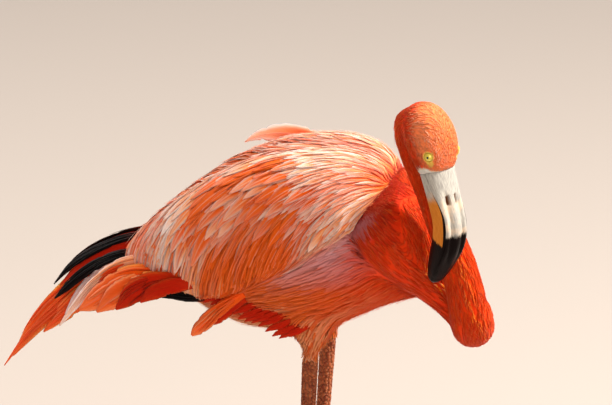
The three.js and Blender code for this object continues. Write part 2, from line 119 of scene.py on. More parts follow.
# %% [markdown]
# ## Camera
# A long lens from five metres away keeps the bird's proportions true, as a birdwatcher's telephoto
# does. It looks at the bird's right side from a little ahead and from above the back.

# %% Camera
IMAGE_WIDTH = 612
PIXELS_PER_MM = 0.95
DISTANCE = 5.0
SENSOR = 36.0
TURN, LIFT = math.radians(17), math.radians(21)
AIM_SIDE, AIM_RISE = -12.63, 32.3  # from the middle of the body to the middle of the frame, mm

look = Vector((math.cos(TURN) * math.cos(LIFT), math.sin(TURN) * math.cos(LIFT), -math.sin(LIFT)))
sideways = Vector((math.sin(TURN), -math.cos(TURN), 0))
upward = sideways.cross(look)
aim = place(0, 0, 700) + sideways * AIM_SIDE * MM + upward * AIM_RISE * MM
camera = new_object("camera", bpy.data.cameras.new("camera"))
camera.data.sensor_width = SENSOR
camera.data.lens = SENSOR * DISTANCE / (IMAGE_WIDTH / PIXELS_PER_MM * MM)
camera.data.clip_end = 100
facing = Matrix((sideways, upward, -look)).transposed()
camera.matrix_world = Matrix.Translation(aim - look * DISTANCE) @ facing.to_4x4()
bpy.context.scene.camera = camera
print("lens", round(camera.data.lens), "mm")

# %% [markdown]
# ## Floor, sky and lamps
# A pale floor that reaches the horizon and a world of the same tone make a plain studio. The key is
# a lamp high ahead of the bird and a little to its left, as the sun would stand. A broad fill on the
# other side keeps the shaded flank readable, and a third lamp behind brightens the slope of the back.

# %% Floor and lamps
FLOOR_REACH = 30.0
floor_mesh = bpy.data.meshes.new("floor")
corners = [(x * FLOOR_REACH, y * FLOOR_REACH, 0) for x, y in ((-1, -1), (1, -1), (1, 1), (-1, 1))]
floor_mesh.from_pydata(corners, [], [(0, 1, 2, 3)])
floor = new_object("floor", floor_mesh)
floor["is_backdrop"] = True
floor_finish = bpy.data.materials.new("floor")
floor_finish.use_nodes = True
floor_shader = floor_finish.node_tree.nodes["Principled BSDF"]
floor_shader.inputs["Base Color"].default_value = (0.43, 0.375, 0.335, 1)
floor_shader.inputs["Roughness"].default_value = 0.9
floor_mesh.materials.append(floor_finish)

world = bpy.data.worlds.new("studio")
world.use_nodes = True
sky = world.node_tree.nodes["Background"].inputs
sky["Color"].default_value = (0.96, 0.9, 0.85, 1)
sky["Strength"].default_value = 0.56
bpy.context.scene.world = world
bpy.context.scene.view_settings.view_transform = "Standard"

LAMPS = {  # place, size in metres, power in watts, colour
    "key": ((0.9, -2.3, 3.3), 0.6, 290, (1.0, 0.96, 0.9)),
    "fill": ((-3.4, -1.8, 1.8), 2.6, 56, (1.0, 0.88, 0.78)),
    "rim": ((1.2, 2.2, 2.9), 1.6, 75, (1.0, 0.96, 0.92)),
}
for name, (at, size, power, colour) in LAMPS.items():
    data = bpy.data.lights.new(name, "AREA")
    data.shape, data.size, data.energy, data.color = "DISK", size, power, colour
    lamp = new_object(name, data)
    lamp.location = at
    lamp.rotation_euler = (place(0, 0, 720) - Vector(at)).to_track_quat("-Z", "Y").to_euler()
print("lamps:", list(LAMPS))

# %% [markdown]
# ## The head's own axes
# The head is turned to the bird's right and tipped down. Its parts are easier to place along three
# axes of its own: along it towards the bill, up through the crown, and out to its right side.

# %% Head axes
HEAD_YAW, HEAD_PITCH = math.radians(33), math.radians(67)
HEAD_CENTRE = np.array(place(-99, 151, 853))
EYE_FORWARD, EYE_RISE, EYE_OUT = 12.0, 10.5, 15.9
EYE_RADIUS = 6.2 * MM
level = np.array([-math.sin(HEAD_YAW), -math.cos(HEAD_YAW), 0])
UP = np.array([0.0, 0.0, 1.0])
head_along = math.cos(HEAD_PITCH) * level - math.sin(HEAD_PITCH) * UP
head_up = math.sin(HEAD_PITCH) * level + math.cos(HEAD_PITCH) * UP
head_right = np.cross(head_along, head_up)


def in_head(along, rise, right=0.0):
    """A point measured in mm along, above and to the right of the head's centre."""
    return HEAD_CENTRE + (head_along * along + head_up * rise + head_right * right) * MM


EYES = {side: in_head(EYE_FORWARD, EYE_RISE, -sign * EYE_OUT) for side, sign in SIDES.items()}
EYE_AXES = {}  # where each eye looks, and the two axes across that: along the head and above
for side, sign in SIDES.items():  # outward, a little up and forward
    gaze = unit(-sign * 0.89 * head_right + 0.43 * head_up + 0.12 * head_along)
    ahead = unit(head_along - gaze * (head_along @ gaze))
    EYE_AXES[side] = gaze, ahead, np.cross(gaze, ahead)
print("eyes at", {k: np.round(v, 3).tolist() for k, v in EYES.items()})

# %% [markdown]
# ## One skin out of many solids
# The solids meet in steps and flat facets, and a living bird has neither. So we copy the solids of
# the flesh, weld each copy, let them swell by half a millimetre so that they overlap, and rebuild
# the lot as one closed surface of small squares (a voxel remesh). The eyeballs join in, which closes
# their holes; we open them again later as proper lids.

# %% Weld, swell and remesh
FLESH = ["trunk", "wing_right", "wing_left", "neck_lower", "neck_middle", "neck_upper", "head"]
for side in SIDES:
    FLESH += [f"{name}_{side}" for name in ("thigh", "tibia", "hock", "tarsus", "foot")]
SWELL = 0.5 * MM
VOXEL = 2.7 * MM


def welded(node, swell):
    """A merged copy of one solid as arrays of points and triangles."""
    shell = bmesh.new()
    shell.from_mesh(NODES[node].data)
    bmesh.ops.remove_doubles(shell, verts=shell.verts, dist=2e-6)
    bmesh.ops.triangulate(shell, faces=shell.faces)
    shell.normal_update()
    points = np.array([v.co + v.normal * swell for v in shell.verts])
    faces = np.array([[v.index for v in f.verts] for f in shell.faces])
    shell.free()
    return points, faces


def stack(parts):
    """Several (points, faces) as one, and which part each face came from."""
    points, faces, owner, start = [], [], [], 0
    for i, (p, f) in enumerate(parts):
        points.append(p)
        faces.append(f + start)
        owner.append(np.full(len(f), i))
        start += len(p)
    return np.concatenate(points), np.concatenate(faces), np.concatenate(owner)


flesh_parts = [welded(node, SWELL) for node in FLESH]
eye_parts = [welded(f"eye_{side}", 0.0) for side in SIDES]
flesh_points, flesh_faces, flesh_owner = stack(flesh_parts)
all_points, all_faces, _ = stack(flesh_parts + eye_parts)
rough_mesh = bpy.data.meshes.new("rough")
rough_mesh.from_pydata(all_points.tolist(), [], all_faces.tolist())
rough = new_object("rough", rough_mesh)
remesh = rough.modifiers.new("remesh", "REMESH")
remesh.mode = "VOXEL"
remesh.voxel_size = VOXEL
graph = bpy.context.evaluated_depsgraph_get()
skin_mesh = bpy.data.meshes.new_from_object(rough.evaluated_get(graph))
bpy.data.objects.remove(rough)
print("skin squares:", len(skin_mesh.polygons))

# %% [markdown]
# Each point of the skin needs to know which part of the body it lies on. The nearest solid tells,
# and letting those labels bleed along the edges for a few rounds turns hard borders into soft ones.
# The same bleeding, used on the points themselves, irons out the facets: long on the body, where the
# solids are coarse, and hardly at all on the toes, which are thin.

# %% Labels and ironing
GROUPS = {
    "trunk": ["trunk"],
    "wing": ["wing_right", "wing_left"],
    "neck": ["neck_lower", "neck_middle", "neck_upper"],
    "head": ["head"],
    "thigh": ["thigh_right", "thigh_left"],
    "leg": [n for n in FLESH if n.split("_")[0] in ("tibia", "hock", "tarsus", "foot")],
}
IRON_ROUNDS = {"trunk": 24, "wing": 18, "neck": 16, "head": 14, "thigh": 10, "leg": 1}


def read(items, key, width, kind=float):
    """One property of all points or edges of a mesh, as rows of an array."""
    flat = np.empty(len(items) * width, kind)
    items.foreach_get(key, flat)
    return flat.reshape(-1, width)


def write_points(mesh, points):
    mesh.vertices.foreach_set("co", np.ascontiguousarray(points).ravel())
    mesh.update()


def bleed(values, edges, rounds, strength=0.5):
    """Each point moves towards the mean of its neighbours, a number of times."""
    values = np.array(values, float)
    count = len(values)
    neighbours = np.bincount(edges.ravel(), minlength=count)
    strength = np.broadcast_to(strength, (rounds, count)) if np.ndim(strength) < 2 else strength
    for i in range(rounds):
        total = np.empty_like(values)
        for k in range(values.shape[1]):
            total[:, k] = np.bincount(edges[:, 0], values[edges[:, 1], k], count)
            total[:, k] += np.bincount(edges[:, 1], values[edges[:, 0], k], count)
        values += strength[i][:, None] * (total / neighbours[:, None] - values)
    return values


points = read(skin_mesh.vertices, "co", 3)
edges = read(skin_mesh.edges, "vertices", 2, int)
flesh_tree = BVHTree.FromPolygons(flesh_points.tolist(), flesh_faces.tolist())
group_of_node = np.array([next(i for i, g in enumerate(GROUPS.values()) if n in g) for n in FLESH])
nearest_face = np.array([flesh_tree.find_nearest(p)[2] for p in points])
labels = np.eye(len(GROUPS))[group_of_node[flesh_owner[nearest_face]]]
weights = bleed(labels, edges, 6)
rounds_here = weights @ np.array([IRON_ROUNDS[g] for g in GROUPS])
to_shoulder = np.linalg.norm(points - np.array(place(-50, 75, 750)), axis=1) / MM
rounds_here *= 1 - 0.75 * np.clip((85 - to_shoulder) / 25, 0, 1)  # the shoulder keeps its edge
to_nape = np.linalg.norm(points - in_head(-36, -2), axis=1) / MM
rounds_here += 45 * np.clip((34 - to_nape) / 12, 0, 1)  # the nape loses its notch
most = int(rounds_here.max()) + 1
ironing = np.clip(rounds_here[None, :] - np.arange(most)[:, None], 0, 1) * 0.5
points = bleed(points, edges, most, ironing)
print("points per part:", dict(zip(GROUPS, labels.sum(0).astype(int).tolist())))

# %% [markdown]
# The skin has to lie under the coat, so it sinks by the coat's depth: most on the wings and flanks,
# little on the face, hardly at all on the bare legs. The solids already measure over the feathers.

# %% Sink the skin under the coat
COAT_DEPTH = {"trunk": 7.5, "wing": 6.5, "neck": 2.0, "head": 0.3, "thigh": 5.0, "leg": 0.3}
SOLE_LEVEL = 0.15 * MM
write_points(skin_mesh, points)
normals = read(skin_mesh.vertex_normals, "vector", 3)
depth = weights @ np.array([COAT_DEPTH[g] for g in GROUPS]) * MM
depth = bleed(depth[:, None], edges, 8)
points = points - normals * depth
points[:, 2] = np.maximum(points[:, 2], SOLE_LEVEL)
write_points(skin_mesh, points)
print("skin lies", round(float(depth.max() / MM), 1), "mm deep at most")

# %% [markdown]
# ## Eyelids in the skin
# A flamingo's eye sits in a ring of bare skin with a thick soft rim. We cut the squares round each
# eye finer, then shape the points by their distance from the eye's axis: inside the opening they
# drop behind the ball, at its edge they roll into a rim, and outside it they hug the ball and run
# out into the face in fine rings of folds.

# %% Finer squares round the eyes
FINE_REACH = 12.5 * MM
LID_OPENING = 4.3  # half height of the opening, mm
LID_SLANT = 1.1  # the opening is this much longer than high
RIM_HEIGHT, RIM_WIDTH = 0.35, 0.55
FOLD_HEIGHT, FOLD_GAP = 0.13, 1.15
CREASE_DEPTH, CREASE_WIDTH, CREASE_AT = 0.35, 0.7, 7.1


def nearest_of(known, places):
    """For each place, the number of the nearest known point."""
    finder = KDTree(len(known))
    for i, p in enumerate(known):
        finder.insert(p, i)
    finder.balance()
    return np.array([finder.find(p)[1] for p in places])


def smooth(low, high, x):
    """From 0 at low to 1 at high, with soft ends."""
    t = np.clip((x - low) / (high - low), 0, 1)
    return t * t * (3 - 2 * t)


def window(x, start, full, fade, end):
    """1 between full and fade, falling softly to 0 at start and at end."""
    return smooth(start, full, x) * smooth(end, fade, x)


coarse_points = read(skin_mesh.vertices, "co", 3)
skin_shell = bmesh.new()
skin_shell.from_mesh(skin_mesh)
for centre in EYES.values():
    close = {v for v in skin_shell.verts if (v.co - Vector(centre)).length < FINE_REACH}
    near = [e for e in skin_shell.edges if close.issuperset(e.verts)]
    bmesh.ops.subdivide_edges(skin_shell, edges=near, cuts=3, use_grid_fill=True)
skin_shell.to_mesh(skin_mesh)
skin_shell.free()
points = read(skin_mesh.vertices, "co", 3)
edges = read(skin_mesh.edges, "vertices", 2, int)
weights = weights[nearest_of(coarse_points, points)]
fine = np.zeros(len(points))
for centre in EYES.values():
    fine[np.linalg.norm(points - centre, axis=1) < FINE_REACH + 4 * MM] = 0.5
points = bleed(points, edges, 10, np.tile(fine, (10, 1)))
write_points(skin_mesh, points)
normals = read(skin_mesh.vertex_normals, "vector", 3)
print("skin points:", len(points))

# %% [markdown]
# The skin still lacks two swellings that the plain solids leave out. The back of the crown is a
# little fuller, and the breast bulges over the front of the wing and ends there in a step.

# %% Crown and breast
CROWN_SWELL, BREAST_SWELL = 4.8, 4.5  # mm


def from_head(axis):
    """How far the points lie from the head's centre along one axis, in mm."""
    return ((points - HEAD_CENTRE) @ axis) / MM


def past_shoulder(forward, height):
    """How far a point lies ahead of the wing's slanting front edge, in mm."""
    return 0.776 * forward - 0.631 * (height - 700) - 19.8


head_forward = from_head(head_along)
to_head = np.linalg.norm(points - HEAD_CENTRE, axis=1) / MM
fuller = CROWN_SWELL * smooth(-4, -30, head_forward) * smooth(75, 48, to_head)
points = points - np.outer(fuller, head_along) * MM
_, forward, height = to_bird(points).T
shoulder = past_shoulder(forward, height)
step_zone = window(height, 718, 738, 800, 815) * smooth(114, 102, forward)
proud = BREAST_SWELL * window(shoulder, -2, 2, 8, 45) * step_zone
points = points + normals * proud[:, None] * MM
print("the breast stands", round(float(proud.max()), 1), "mm over the wing")

# %% [markdown]
# Now the lids. Seen along the axis of the eye, each point has a radius, and its height over the face
# is worked out from that: the ball's own curve first, then the rim, a crease and the rings of folds.

# %% Lids
bare = np.zeros(len(points))
for side, centre in EYES.items():
    offset = (points - centre) / MM
    out, along, rise = (offset @ axis for axis in EYE_AXES[side])
    radius = np.hypot(along / LID_SLANT, rise)
    near = (out > 0) & (radius < 14)
    ball = EYE_RADIUS / MM + 0.25
    hug = np.sqrt(np.maximum(ball**2 - radius**2, 0))
    rim = RIM_HEIGHT * np.exp(-(((radius - LID_OPENING - 0.5) / RIM_WIDTH) ** 2))
    folds = np.cos(2 * np.pi * (radius - LID_OPENING) / FOLD_GAP) * smooth(9.5, 5.5, radius)
    crease = -CREASE_DEPTH * np.exp(-(((radius - CREASE_AT) / CREASE_WIDTH) ** 2))
    blend = smooth(9.0, 6.0, radius)
    shaped = np.maximum(out, hug) * blend + out * (1 - blend)
    shaped = shaped + rim + FOLD_HEIGHT * folds + crease
    inside = smooth(LID_OPENING + 0.35, LID_OPENING - 0.35, radius)
    shaped = shaped * (1 - inside) + 1.0 * inside
    points[near] += np.outer((shaped - out)[near], EYE_AXES[side][0]) * MM
    lore = np.hypot((along - 5.5) / 1.7, rise + 0.8)
    naked = np.maximum(smooth(5.9, 5.0, radius), smooth(4.0, 2.8, lore))
    bare = np.maximum(bare, np.where(near, naked, 0))
write_points(skin_mesh, points)
normals = read(skin_mesh.vertex_normals, "vector", 3)
print("points of bare skin round the eyes:", int((bare > 0.5).sum()))

# %% [markdown]
# ## Which way the feathers lie
# Feathers point away from the bill. On the back they run level towards the tail; down the side of
# the wing they swing more and more until they hang. On the flank and breast they sweep back with a
# slight fall. On the neck they follow its bends down to the body. We write this as one direction
# for every point of the skin, blend it where parts meet, and keep only what lies in the surface.

# %% Directions over the body
TRUNK_LINE = [(-226, 650), (-185, 664), (-150, 675), (-100, 688), (-50, 697), (0, 702), (45, 706)]
TRUNK_LINE += [(80, 706), (106, 698), (135, 677)]
NECK_LINE = [(-55, 65, 768), (-53, 68, 763), (-48, 77, 751), (-42, 89, 735), (-35, 101, 719)]
NECK_LINE += [(-25, 115, 698), (-16, 129, 679), (-8, 142, 661), (-3, 154, 645), (-9, 168, 633)]
NECK_LINE += [(-30, 178, 629), (-52, 183, 638), (-64, 182, 660), (-66, 174, 700), (-71, 158, 748)]
NECK_LINE += [(-70, 141, 788), (-70, 127, 819), (-76, 121, 845), (-87, 124, 864), (-94, 134, 872)]
WING_FALL = ([0, 20, 40, 60, 80, 100, 125], [2, 11, 32, 52, 66, 74, 78])
FLANK_FALL = ([0, 60, 90, 120, 150, 180], [5, 20, 27, 22, 12, 0])
FOOT_TOP = 24  # mm

w = {name: weights[:, i] for i, name in enumerate(GROUPS)}
left, forward, height = to_bird(points).T
line_f, line_z = np.array(TRUNK_LINE, float).T
middle = np.interp(forward, line_f, line_z)
around = np.degrees(np.arctan2(np.abs(left), height - middle))  # 0 on the spine, 180 on the belly


def across_and_back(angle):
    """Level towards the tail, turned downwards round the body by an angle in degrees."""
    turn_down = np.radians(around)
    fall = np.stack([np.sign(left) * np.cos(turn_down), np.zeros_like(left), -np.sin(turn_down)], 1)
    tilt = np.radians(angle)[:, None]
    return np.cos(tilt) * np.array([0.0, 1.0, 0.0]) + np.sin(tilt) * fall


steps = np.linspace(0, len(NECK_LINE) - 1, 240)
neck_rows = np.array(NECK_LINE, float)
neck_path = np.stack([np.interp(steps, range(len(NECK_LINE)), neck_rows[:, k]) for k in range(3)], 1)
neck_scene = to_scene(neck_path)
neck_step = unit(np.gradient(neck_scene, axis=0))
on_neck = w["neck"] > 0.001
neck_at = np.zeros(len(points))
neck_at[on_neck] = [np.argmin(((neck_scene - p) ** 2).sum(1)) for p in points[on_neck]]
neck_share = neck_at / (len(steps) - 1)  # 0 at the shoulder, 1 behind the head
neck_lie = -neck_step[neck_at.astype(int)]

tail_turn = 8 * smooth(-80, -200, forward)
wing_lie = across_and_back(np.interp(around, *WING_FALL) + tail_turn)
flank_lie = across_and_back(np.interp(around, *FLANK_FALL))
shoulder = past_shoulder(forward, height)
behind = w["neck"] * smooth(2, -1, shoulder) * smooth(112, 100, forward) * smooth(690, 705, height)
w["neck"] = w["neck"] - behind
w["wing"] = w["wing"] + behind
upper = np.maximum(w["wing"], w["trunk"] * smooth(62, 48, around)) * smooth(1.5, -1.5, shoulder)
head_forward = from_head(head_along)
over_crown = smooth(6, -24, head_forward)[:, None]
head_lie = -head_along * (1 - over_crown) - neck_step[-1] * over_crown
thigh_lie = np.tile([0, 0.35, -1.0], (len(points), 1))
leg_lie = np.tile([0, 0, -1.0], (len(points), 1))
ANKLES = {}
for side in SIDES:  # on the feet the plates point away from the ankle
    low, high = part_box(f"foot_{side}")
    ANKLES[side] = np.array(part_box(f"tarsus_{side}")[0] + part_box(f"tarsus_{side}")[1]) / 2
    here = (height < FOOT_TOP) & (points[:, 0] > low.x - 0.01) & (points[:, 0] < high.x + 0.01)
    leg_lie[here] = unit((points[here] - ANKLES[side]) * [1, 1, 0] + [0, 0, -0.004])
body = w["wing"] + w["trunk"]
lie = upper[:, None] * wing_lie + (body - upper)[:, None] * flank_lie + w["neck"][:, None] * neck_lie
lie += w["head"][:, None] * head_lie + w["thigh"][:, None] * thigh_lie + w["leg"][:, None] * leg_lie
lie = bleed(lie, edges, 6)
lie = unit(lie - normals * (lie * normals).sum(1, keepdims=True))
print("mean fall of the feathers:", round(float(-lie[body > 0.5][:, 2].mean()), 2))

# %% [markdown]
# Colour runs over a wing in long streaks, because neighbours in one line of feathers grew at the same
# time. We draw such lanes by starting from a random value at every point and averaging it up and
# down the lie of the coat, which smears the grain into stripes that follow the feathers.

# %% Colour lanes
STRIDE = 6.0 * MM
LANE_STEPS = 12
after = nearest_of(points, points + lie * STRIDE)
before = nearest_of(points, points - lie * STRIDE)
grain = bleed(np.random.default_rng(5).random((len(points), 1)), edges, 14)[:, 0]
lane = grain.copy()
down_at = up_at = np.arange(len(points))
for _ in range(LANE_STEPS):
    down_at, up_at = after[down_at], before[up_at]
    lane += grain[down_at] + grain[up_at]
lane = np.argsort(np.argsort(bleed(lane[:, None], edges, 2)[:, 0])) / len(points)
print("lanes cross", LANE_STEPS * 2, "steps of", STRIDE / MM, "mm")

# %% [markdown]
# ## Feather sizes, markings and painted light
# The same way, every point gets a feather length, a slimness, and a handful of soft masks: how
# scarlet, how pale and fringed, how dark red, how amber and how mauve. Some of these are markings,
# and some are painted shade, painted light and a painted reflection of the sky. The skin and every
# coat read the same masks, so their colours always agree. Lengths are in millimetres, and slimness is
# the width of a feather as a share of its length.

# %% Feather sizes
front = smooth(20, 95, forward)
wing_long = 50 + 42 * smooth(60, -60, forward) - 12 * smooth(30, 0, around)
flank_long = 52 - 20 * front - 8 * smooth(120, 170, around) - 22 * smooth(-135, -180, forward)
neck_long = np.interp(neck_share, [0, 0.12, 0.3, 0.5, 0.7, 0.9, 1], [16, 21, 22, 17, 13, 9, 7])
head_long = np.interp(head_forward, [-36, -10, 10, 24, 31], [6.5, 5.2, 4.2, 3.0, 2.4])
thigh_long = np.interp(height, [578, 600, 640], [9, 15, 26])
length = upper * wing_long + (body - upper) * flank_long + w["neck"] * neck_long
length += w["head"] * head_long + w["thigh"] * thigh_long + w["leg"] * 4.5
length = bleed(length[:, None], edges, 4)[:, 0]
slim = upper * 0.135 + (body - upper) * 0.13 + w["neck"] * 0.16 + w["head"] * 0.26
slim += w["thigh"] * 0.15 + w["leg"] * 0.9
velvet = (1 - w["head"] - upper) * window(shoulder, -3, 1, 6, 34)  # the edge of the breast
velvet *= window(height, 700, 725, 800, 815) * smooth(0.5, 0.3, neck_share)
length *= 1 - 0.66 * velvet
slim += 0.12 * velvet
lower = body - upper
regions = {"upper": upper, "lower": lower, "neck": w["neck"], "head": w["head"]}
regions |= {"thigh": w["thigh"], "leg": w["leg"]}
owner = np.argmax(np.stack(list(regions.values())), axis=0)
belongs = {name: owner == i for i, name in enumerate(regions)}
print("longest feathers", round(float(length.max())), "mm, shortest", round(float(length.min()), 1))

# %% Markings, painted shade and painted light of the broad parts
scarlet = w["neck"] + w["head"] + lower * smooth(0, 80, forward) * 0.85
scarlet += lower * smooth(-110, -180, forward) * 0.35
head_rise = from_head(head_up)
# Painted light, partly real paleness: the top of the wing and the crown are made paler, as where light
# falls from above.
lit_wing_top = smooth(88, 52, around)
pale = upper * (0.3 + 0.7 * np.maximum(lit_wing_top, smooth(-60, -130, forward)))
pale += lower * (1 - front) * 0.3 + w["head"] * smooth(4, 18, head_rise) * 0.35
dome = (1 - w["head"]) * smooth(-1, 2, shoulder) * window(height, 728, 758, 800, 812)
dome *= smooth(0.5, 0.3, neck_share)
scarlet = np.maximum(scarlet, dome)
# Painted shade, partly real deep red: the neck is darker all along and most at its base, and the head a
# little towards the bill and more low on its sides, where shade falls.
dark = w["neck"] * np.maximum(smooth(0.3, 0.05, neck_share), 0.38)
dark += w["head"] * smooth(12, 30, head_forward) * 0.2
head_side = np.abs(from_head(head_right))
dark += w["head"] * smooth(7, 15, head_side) * smooth(14, 2, head_rise) * 0.6
# Painted shadow of the head over the top of the breast's dome.
dark = np.maximum(dark, dome * (1 - 0.8 * smooth(776, 752, height)))
# Painted shade, partly real amber: the wing's lower side, the rear of the flank and belly, and the
# thighs turn a deeper amber where shade falls. Painted light: the top of the head turns a lighter
# orange.
amber = upper * (1 - lit_wing_top) * 0.75 + lower * (1 - front) * 0.7 + w["thigh"] * 0.8
amber += w["head"] * smooth(-3, 11, head_rise)
face_edge = 22.5 + 7.5 * smooth(2, 11, head_rise) + 3 * smooth(-4, -14, head_rise)
chalky = w["head"] * smooth(-0.5, 0.5, head_forward - face_edge)
bare = np.maximum(bare, chalky)
# Painted reflection: a mauve sheen of the sky on the upper front of the flank and under the breast's
# step.
cool = lower * smooth(120, 88, around) * window(forward, -30, 25, 60, 95)
sheen_below_breast = window(shoulder, 2, 10, 14, 26) * window(height, 700, 725, 742, 762)
cool = 0.62 * (cool + (body + w["neck"]) * sheen_below_breast * 0.5)
print("scarlet points:", int((scarlet > 0.5).sum()), "dark:", int((dark > 0.5).sum()))

# %% Tufts, bands and painted light along the top of the wing
lane = lane * (1 - 0.75 * w["head"])
for spot, size in (((85, 25, 704), 17), ((45, 128, 705), 15)):  # a bleached tuft on each side
    nearby = np.stack([np.abs(left), forward, height], 1) - np.array(spot)
    tuft = smooth(size, size * 0.4, np.linalg.norm(nearby, axis=1)) * smooth(0.35, 0.65, lane)
    pale, scarlet, amber = np.maximum(pale, tuft), scarlet * (1 - tuft), amber * (1 - tuft)
    lane = lane * (1 - tuft)
band = upper * window(around, 12, 24, 70, 104) * window(forward, -112, -78, 2, 30)
# Painted light: along the spine and over the front of the wing's top the orange lanes are halved, so
# these parts read paler, as if lit from above.
light = upper * np.maximum(smooth(22, 8, around), smooth(16, 36, forward) * smooth(75, 50, around))
lane = np.clip(lane + 0.42 * band, 0, 1) * (1 - 0.5 * light)
pale = pale * (1 - 0.85 * band * smooth(0.45, 0.75, lane))
amber = np.maximum(amber, 0.5 * band)
low_rear = upper * smooth(56, 70, around) * smooth(-98, -118, forward) * smooth(0.3, 0.55, lane)
scarlet = np.maximum(scarlet, 0.8 * low_rear)
pale = pale * (1 - 0.7 * low_rear)
masks = {"lane": lane, "amber": amber, "chalky": chalky, "cool": cool, "scarlet": scarlet}
masks |= {"pale": pale, "dark": dark, "bare": bare, "horny": w["leg"]}
print("masks:", list(masks))

# %% [markdown]
# ## Storing it on the skin
# Named attributes carry all this to the geometry nodes and to the materials. The skin also gets its
# unwrap here, called OFBake, from Blender's own projection of the surface on many small flat charts.

# %% Skin object
skin = new_object("skin", skin_mesh)
skin_mesh.shade_smooth()


def set_values(mesh, name, values):
    """A named number, or a named vector, on every point of a mesh."""
    kind, key = ("FLOAT", "value") if np.ndim(values) == 1 else ("FLOAT_VECTOR", "vector")
    layer = mesh.attributes.get(name) or mesh.attributes.new(name, kind, "POINT")
    layer.data.foreach_set(key, np.ascontiguousarray(values, np.float32).ravel())


def triangles_in(mesh):
    return sum(len(p.vertices) - 2 for p in mesh.polygons)


on_skin = {name: np.clip(values, 0, 1) for name, values in masks.items()}
on_skin |= {"reach": length * MM, "slim": slim, "lie": lie, "up": normals}
for name, value in {"across": 0, "along": 0.1, "tone": 0.45}.items():  # as near a root
    on_skin[name] = np.full(len(points), value)
for name, values in on_skin.items():
    set_values(skin_mesh, name, values)
skin_mesh.uv_layers.new(name="OFBake")
bpy.context.view_layer.objects.active = skin
skin.select_set(True)
bpy.ops.object.mode_set(mode="EDIT")
bpy.ops.mesh.select_all(action="SELECT")
bpy.ops.uv.smart_project(angle_limit=math.radians(66), island_margin=0.001)
bpy.ops.object.mode_set(mode="OBJECT")
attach(skin, "root")
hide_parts(*FLESH)
print("skin triangles:", triangles_in(skin_mesh))

# %% [markdown]
# ## Wiring helper
# Node trees are easier to read when they are written like formulas. This small class adds a node,
# sets its options, fills its open sockets in order with numbers or with other nodes' outputs, and
# hands back the first output as a value that can stand in a sum. A colour may be written as six
# hex digits.

# %% Wiring
def tint(code):
    """A colour written as six hex digits, in the linear numbers that shaders use."""
    parts = [int(code[i : i + 2], 16) / 255 for i in (0, 2, 4)]
    return (*[p / 12.92 if p < 0.04045 else ((p + 0.055) / 1.055) ** 2.4 for p in parts], 1)


class Value:
    """What a node puts out, ready to be added, subtracted and multiplied in a formula."""

    def __init__(self, wiring, socket):
        self.wiring, self.socket = wiring, socket

    def __add__(self, other):
        return self.wiring.math("ADD", self, other)

    def __radd__(self, other):
        return self.wiring.math("ADD", other, self)

    def __sub__(self, other):
        return self.wiring.math("SUBTRACT", self, other)

    def __rsub__(self, other):
        return self.wiring.math("SUBTRACT", other, self)

    def __mul__(self, other):
        return self.wiring.math("MULTIPLY", self, other)


class Wiring:
    """The nodes of one tree."""

    def __init__(self, tree):
        self.tree = tree

    def node(self, kind, options=None, *values):
        made = self.tree.nodes.new(kind)
        for key, value in (options or {}).items():
            setattr(made, key, value)
        for socket, value in zip([s for s in made.inputs if s.enabled], values):
            self.feed(socket, value)
        return made

    def feed(self, socket, value):
        value = value.socket if isinstance(value, Value) else value
        if isinstance(value, bpy.types.NodeSocket):
            self.tree.links.new(value, socket)
        elif value is not None:
            socket.default_value = value

    def fill(self, made, values):
        """Named sockets of a node, filled from a table."""
        for label, value in values.items():
            self.feed(made.inputs[label], value)
        return made

    def get(self, kind, options=None, *values):
        made = self.node(kind, options, *values)
        return Value(self, next(s for s in made.outputs if s.enabled))

    def math(self, operation, *values, clamp=False):
        return self.get("ShaderNodeMath", {"operation": operation, "use_clamp": clamp}, *values)

    def vector(self, operation, *values):
        return self.get("ShaderNodeVectorMath", {"operation": operation}, *values)

    def scaled(self, vector, factor):
        made = self.node("ShaderNodeVectorMath", {"operation": "SCALE"}, vector)
        self.feed(made.inputs["Scale"], factor)
        return made.outputs["Vector"]

    def mix(self, share, a, b, data_type="VECTOR"):
        return self.get("ShaderNodeMix", {"data_type": data_type}, share, a, b)

    def blend(self, share, a, b):
        """Two colours mixed; either may be written as six hex digits."""
        a, b = (tint(c) if isinstance(c, str) else c for c in (a, b))
        return self.mix(share, a, b, "RGBA")

    def soft(self, low, high, x):
        """From 0 at low to 1 at high, with soft ends."""
        options = {"interpolation_type": "SMOOTHSTEP"}
        return self.get("ShaderNodeMapRange", options, x, low, high, 0.0, 1.0)

    def named(self, name, data_type="FLOAT"):
        return self.get("GeometryNodeInputNamedAttribute", {"data_type": data_type}, name)

    def store(self, geometry, name, value, data_type="FLOAT", domain="POINT"):
        options = {"data_type": data_type, "domain": domain}
        return self.get("GeometryNodeStoreNamedAttribute", options, geometry, None, name, value)

    def random(self, low, high, seed):
        options = {"data_type": "FLOAT"}
        return self.get("FunctionNodeRandomValue", options, low, high, None, seed)


def add_sockets(tree, direction, wanted):
    """The inputs or outputs of a node group, from rows of name, kind and, if given, value."""
    for label, kind, *value in wanted:
        kind = "NodeSocket" + kind
        made = tree.interface.new_socket(label, in_out=direction, socket_type=kind)
        if value:
            made.default_value = value[0]


print("wiring ready")

# %% [markdown]
# ## Patterns for one feather
# Each pattern is a thin closed blade: a few rows from root to tip, each row a flat loop of points
# that rises to a rib in the middle. It carries no size of its own. It only says, for every point,
# how far along the feather and how far across the vane it lies, and the geometry nodes do the rest.

# %% Feather patterns
FINE_LOOP = [(-1, 0), (-0.5, 0.6), (0, 1), (0.5, 0.6), (1, 0), (0, -0.3)]
PLAIN_LOOP = [(-1, 0), (0, 1), (1, 0), (0, -0.3)]
SMALL_LOOP = [(-1, 0), (0, 1), (1, 0)]


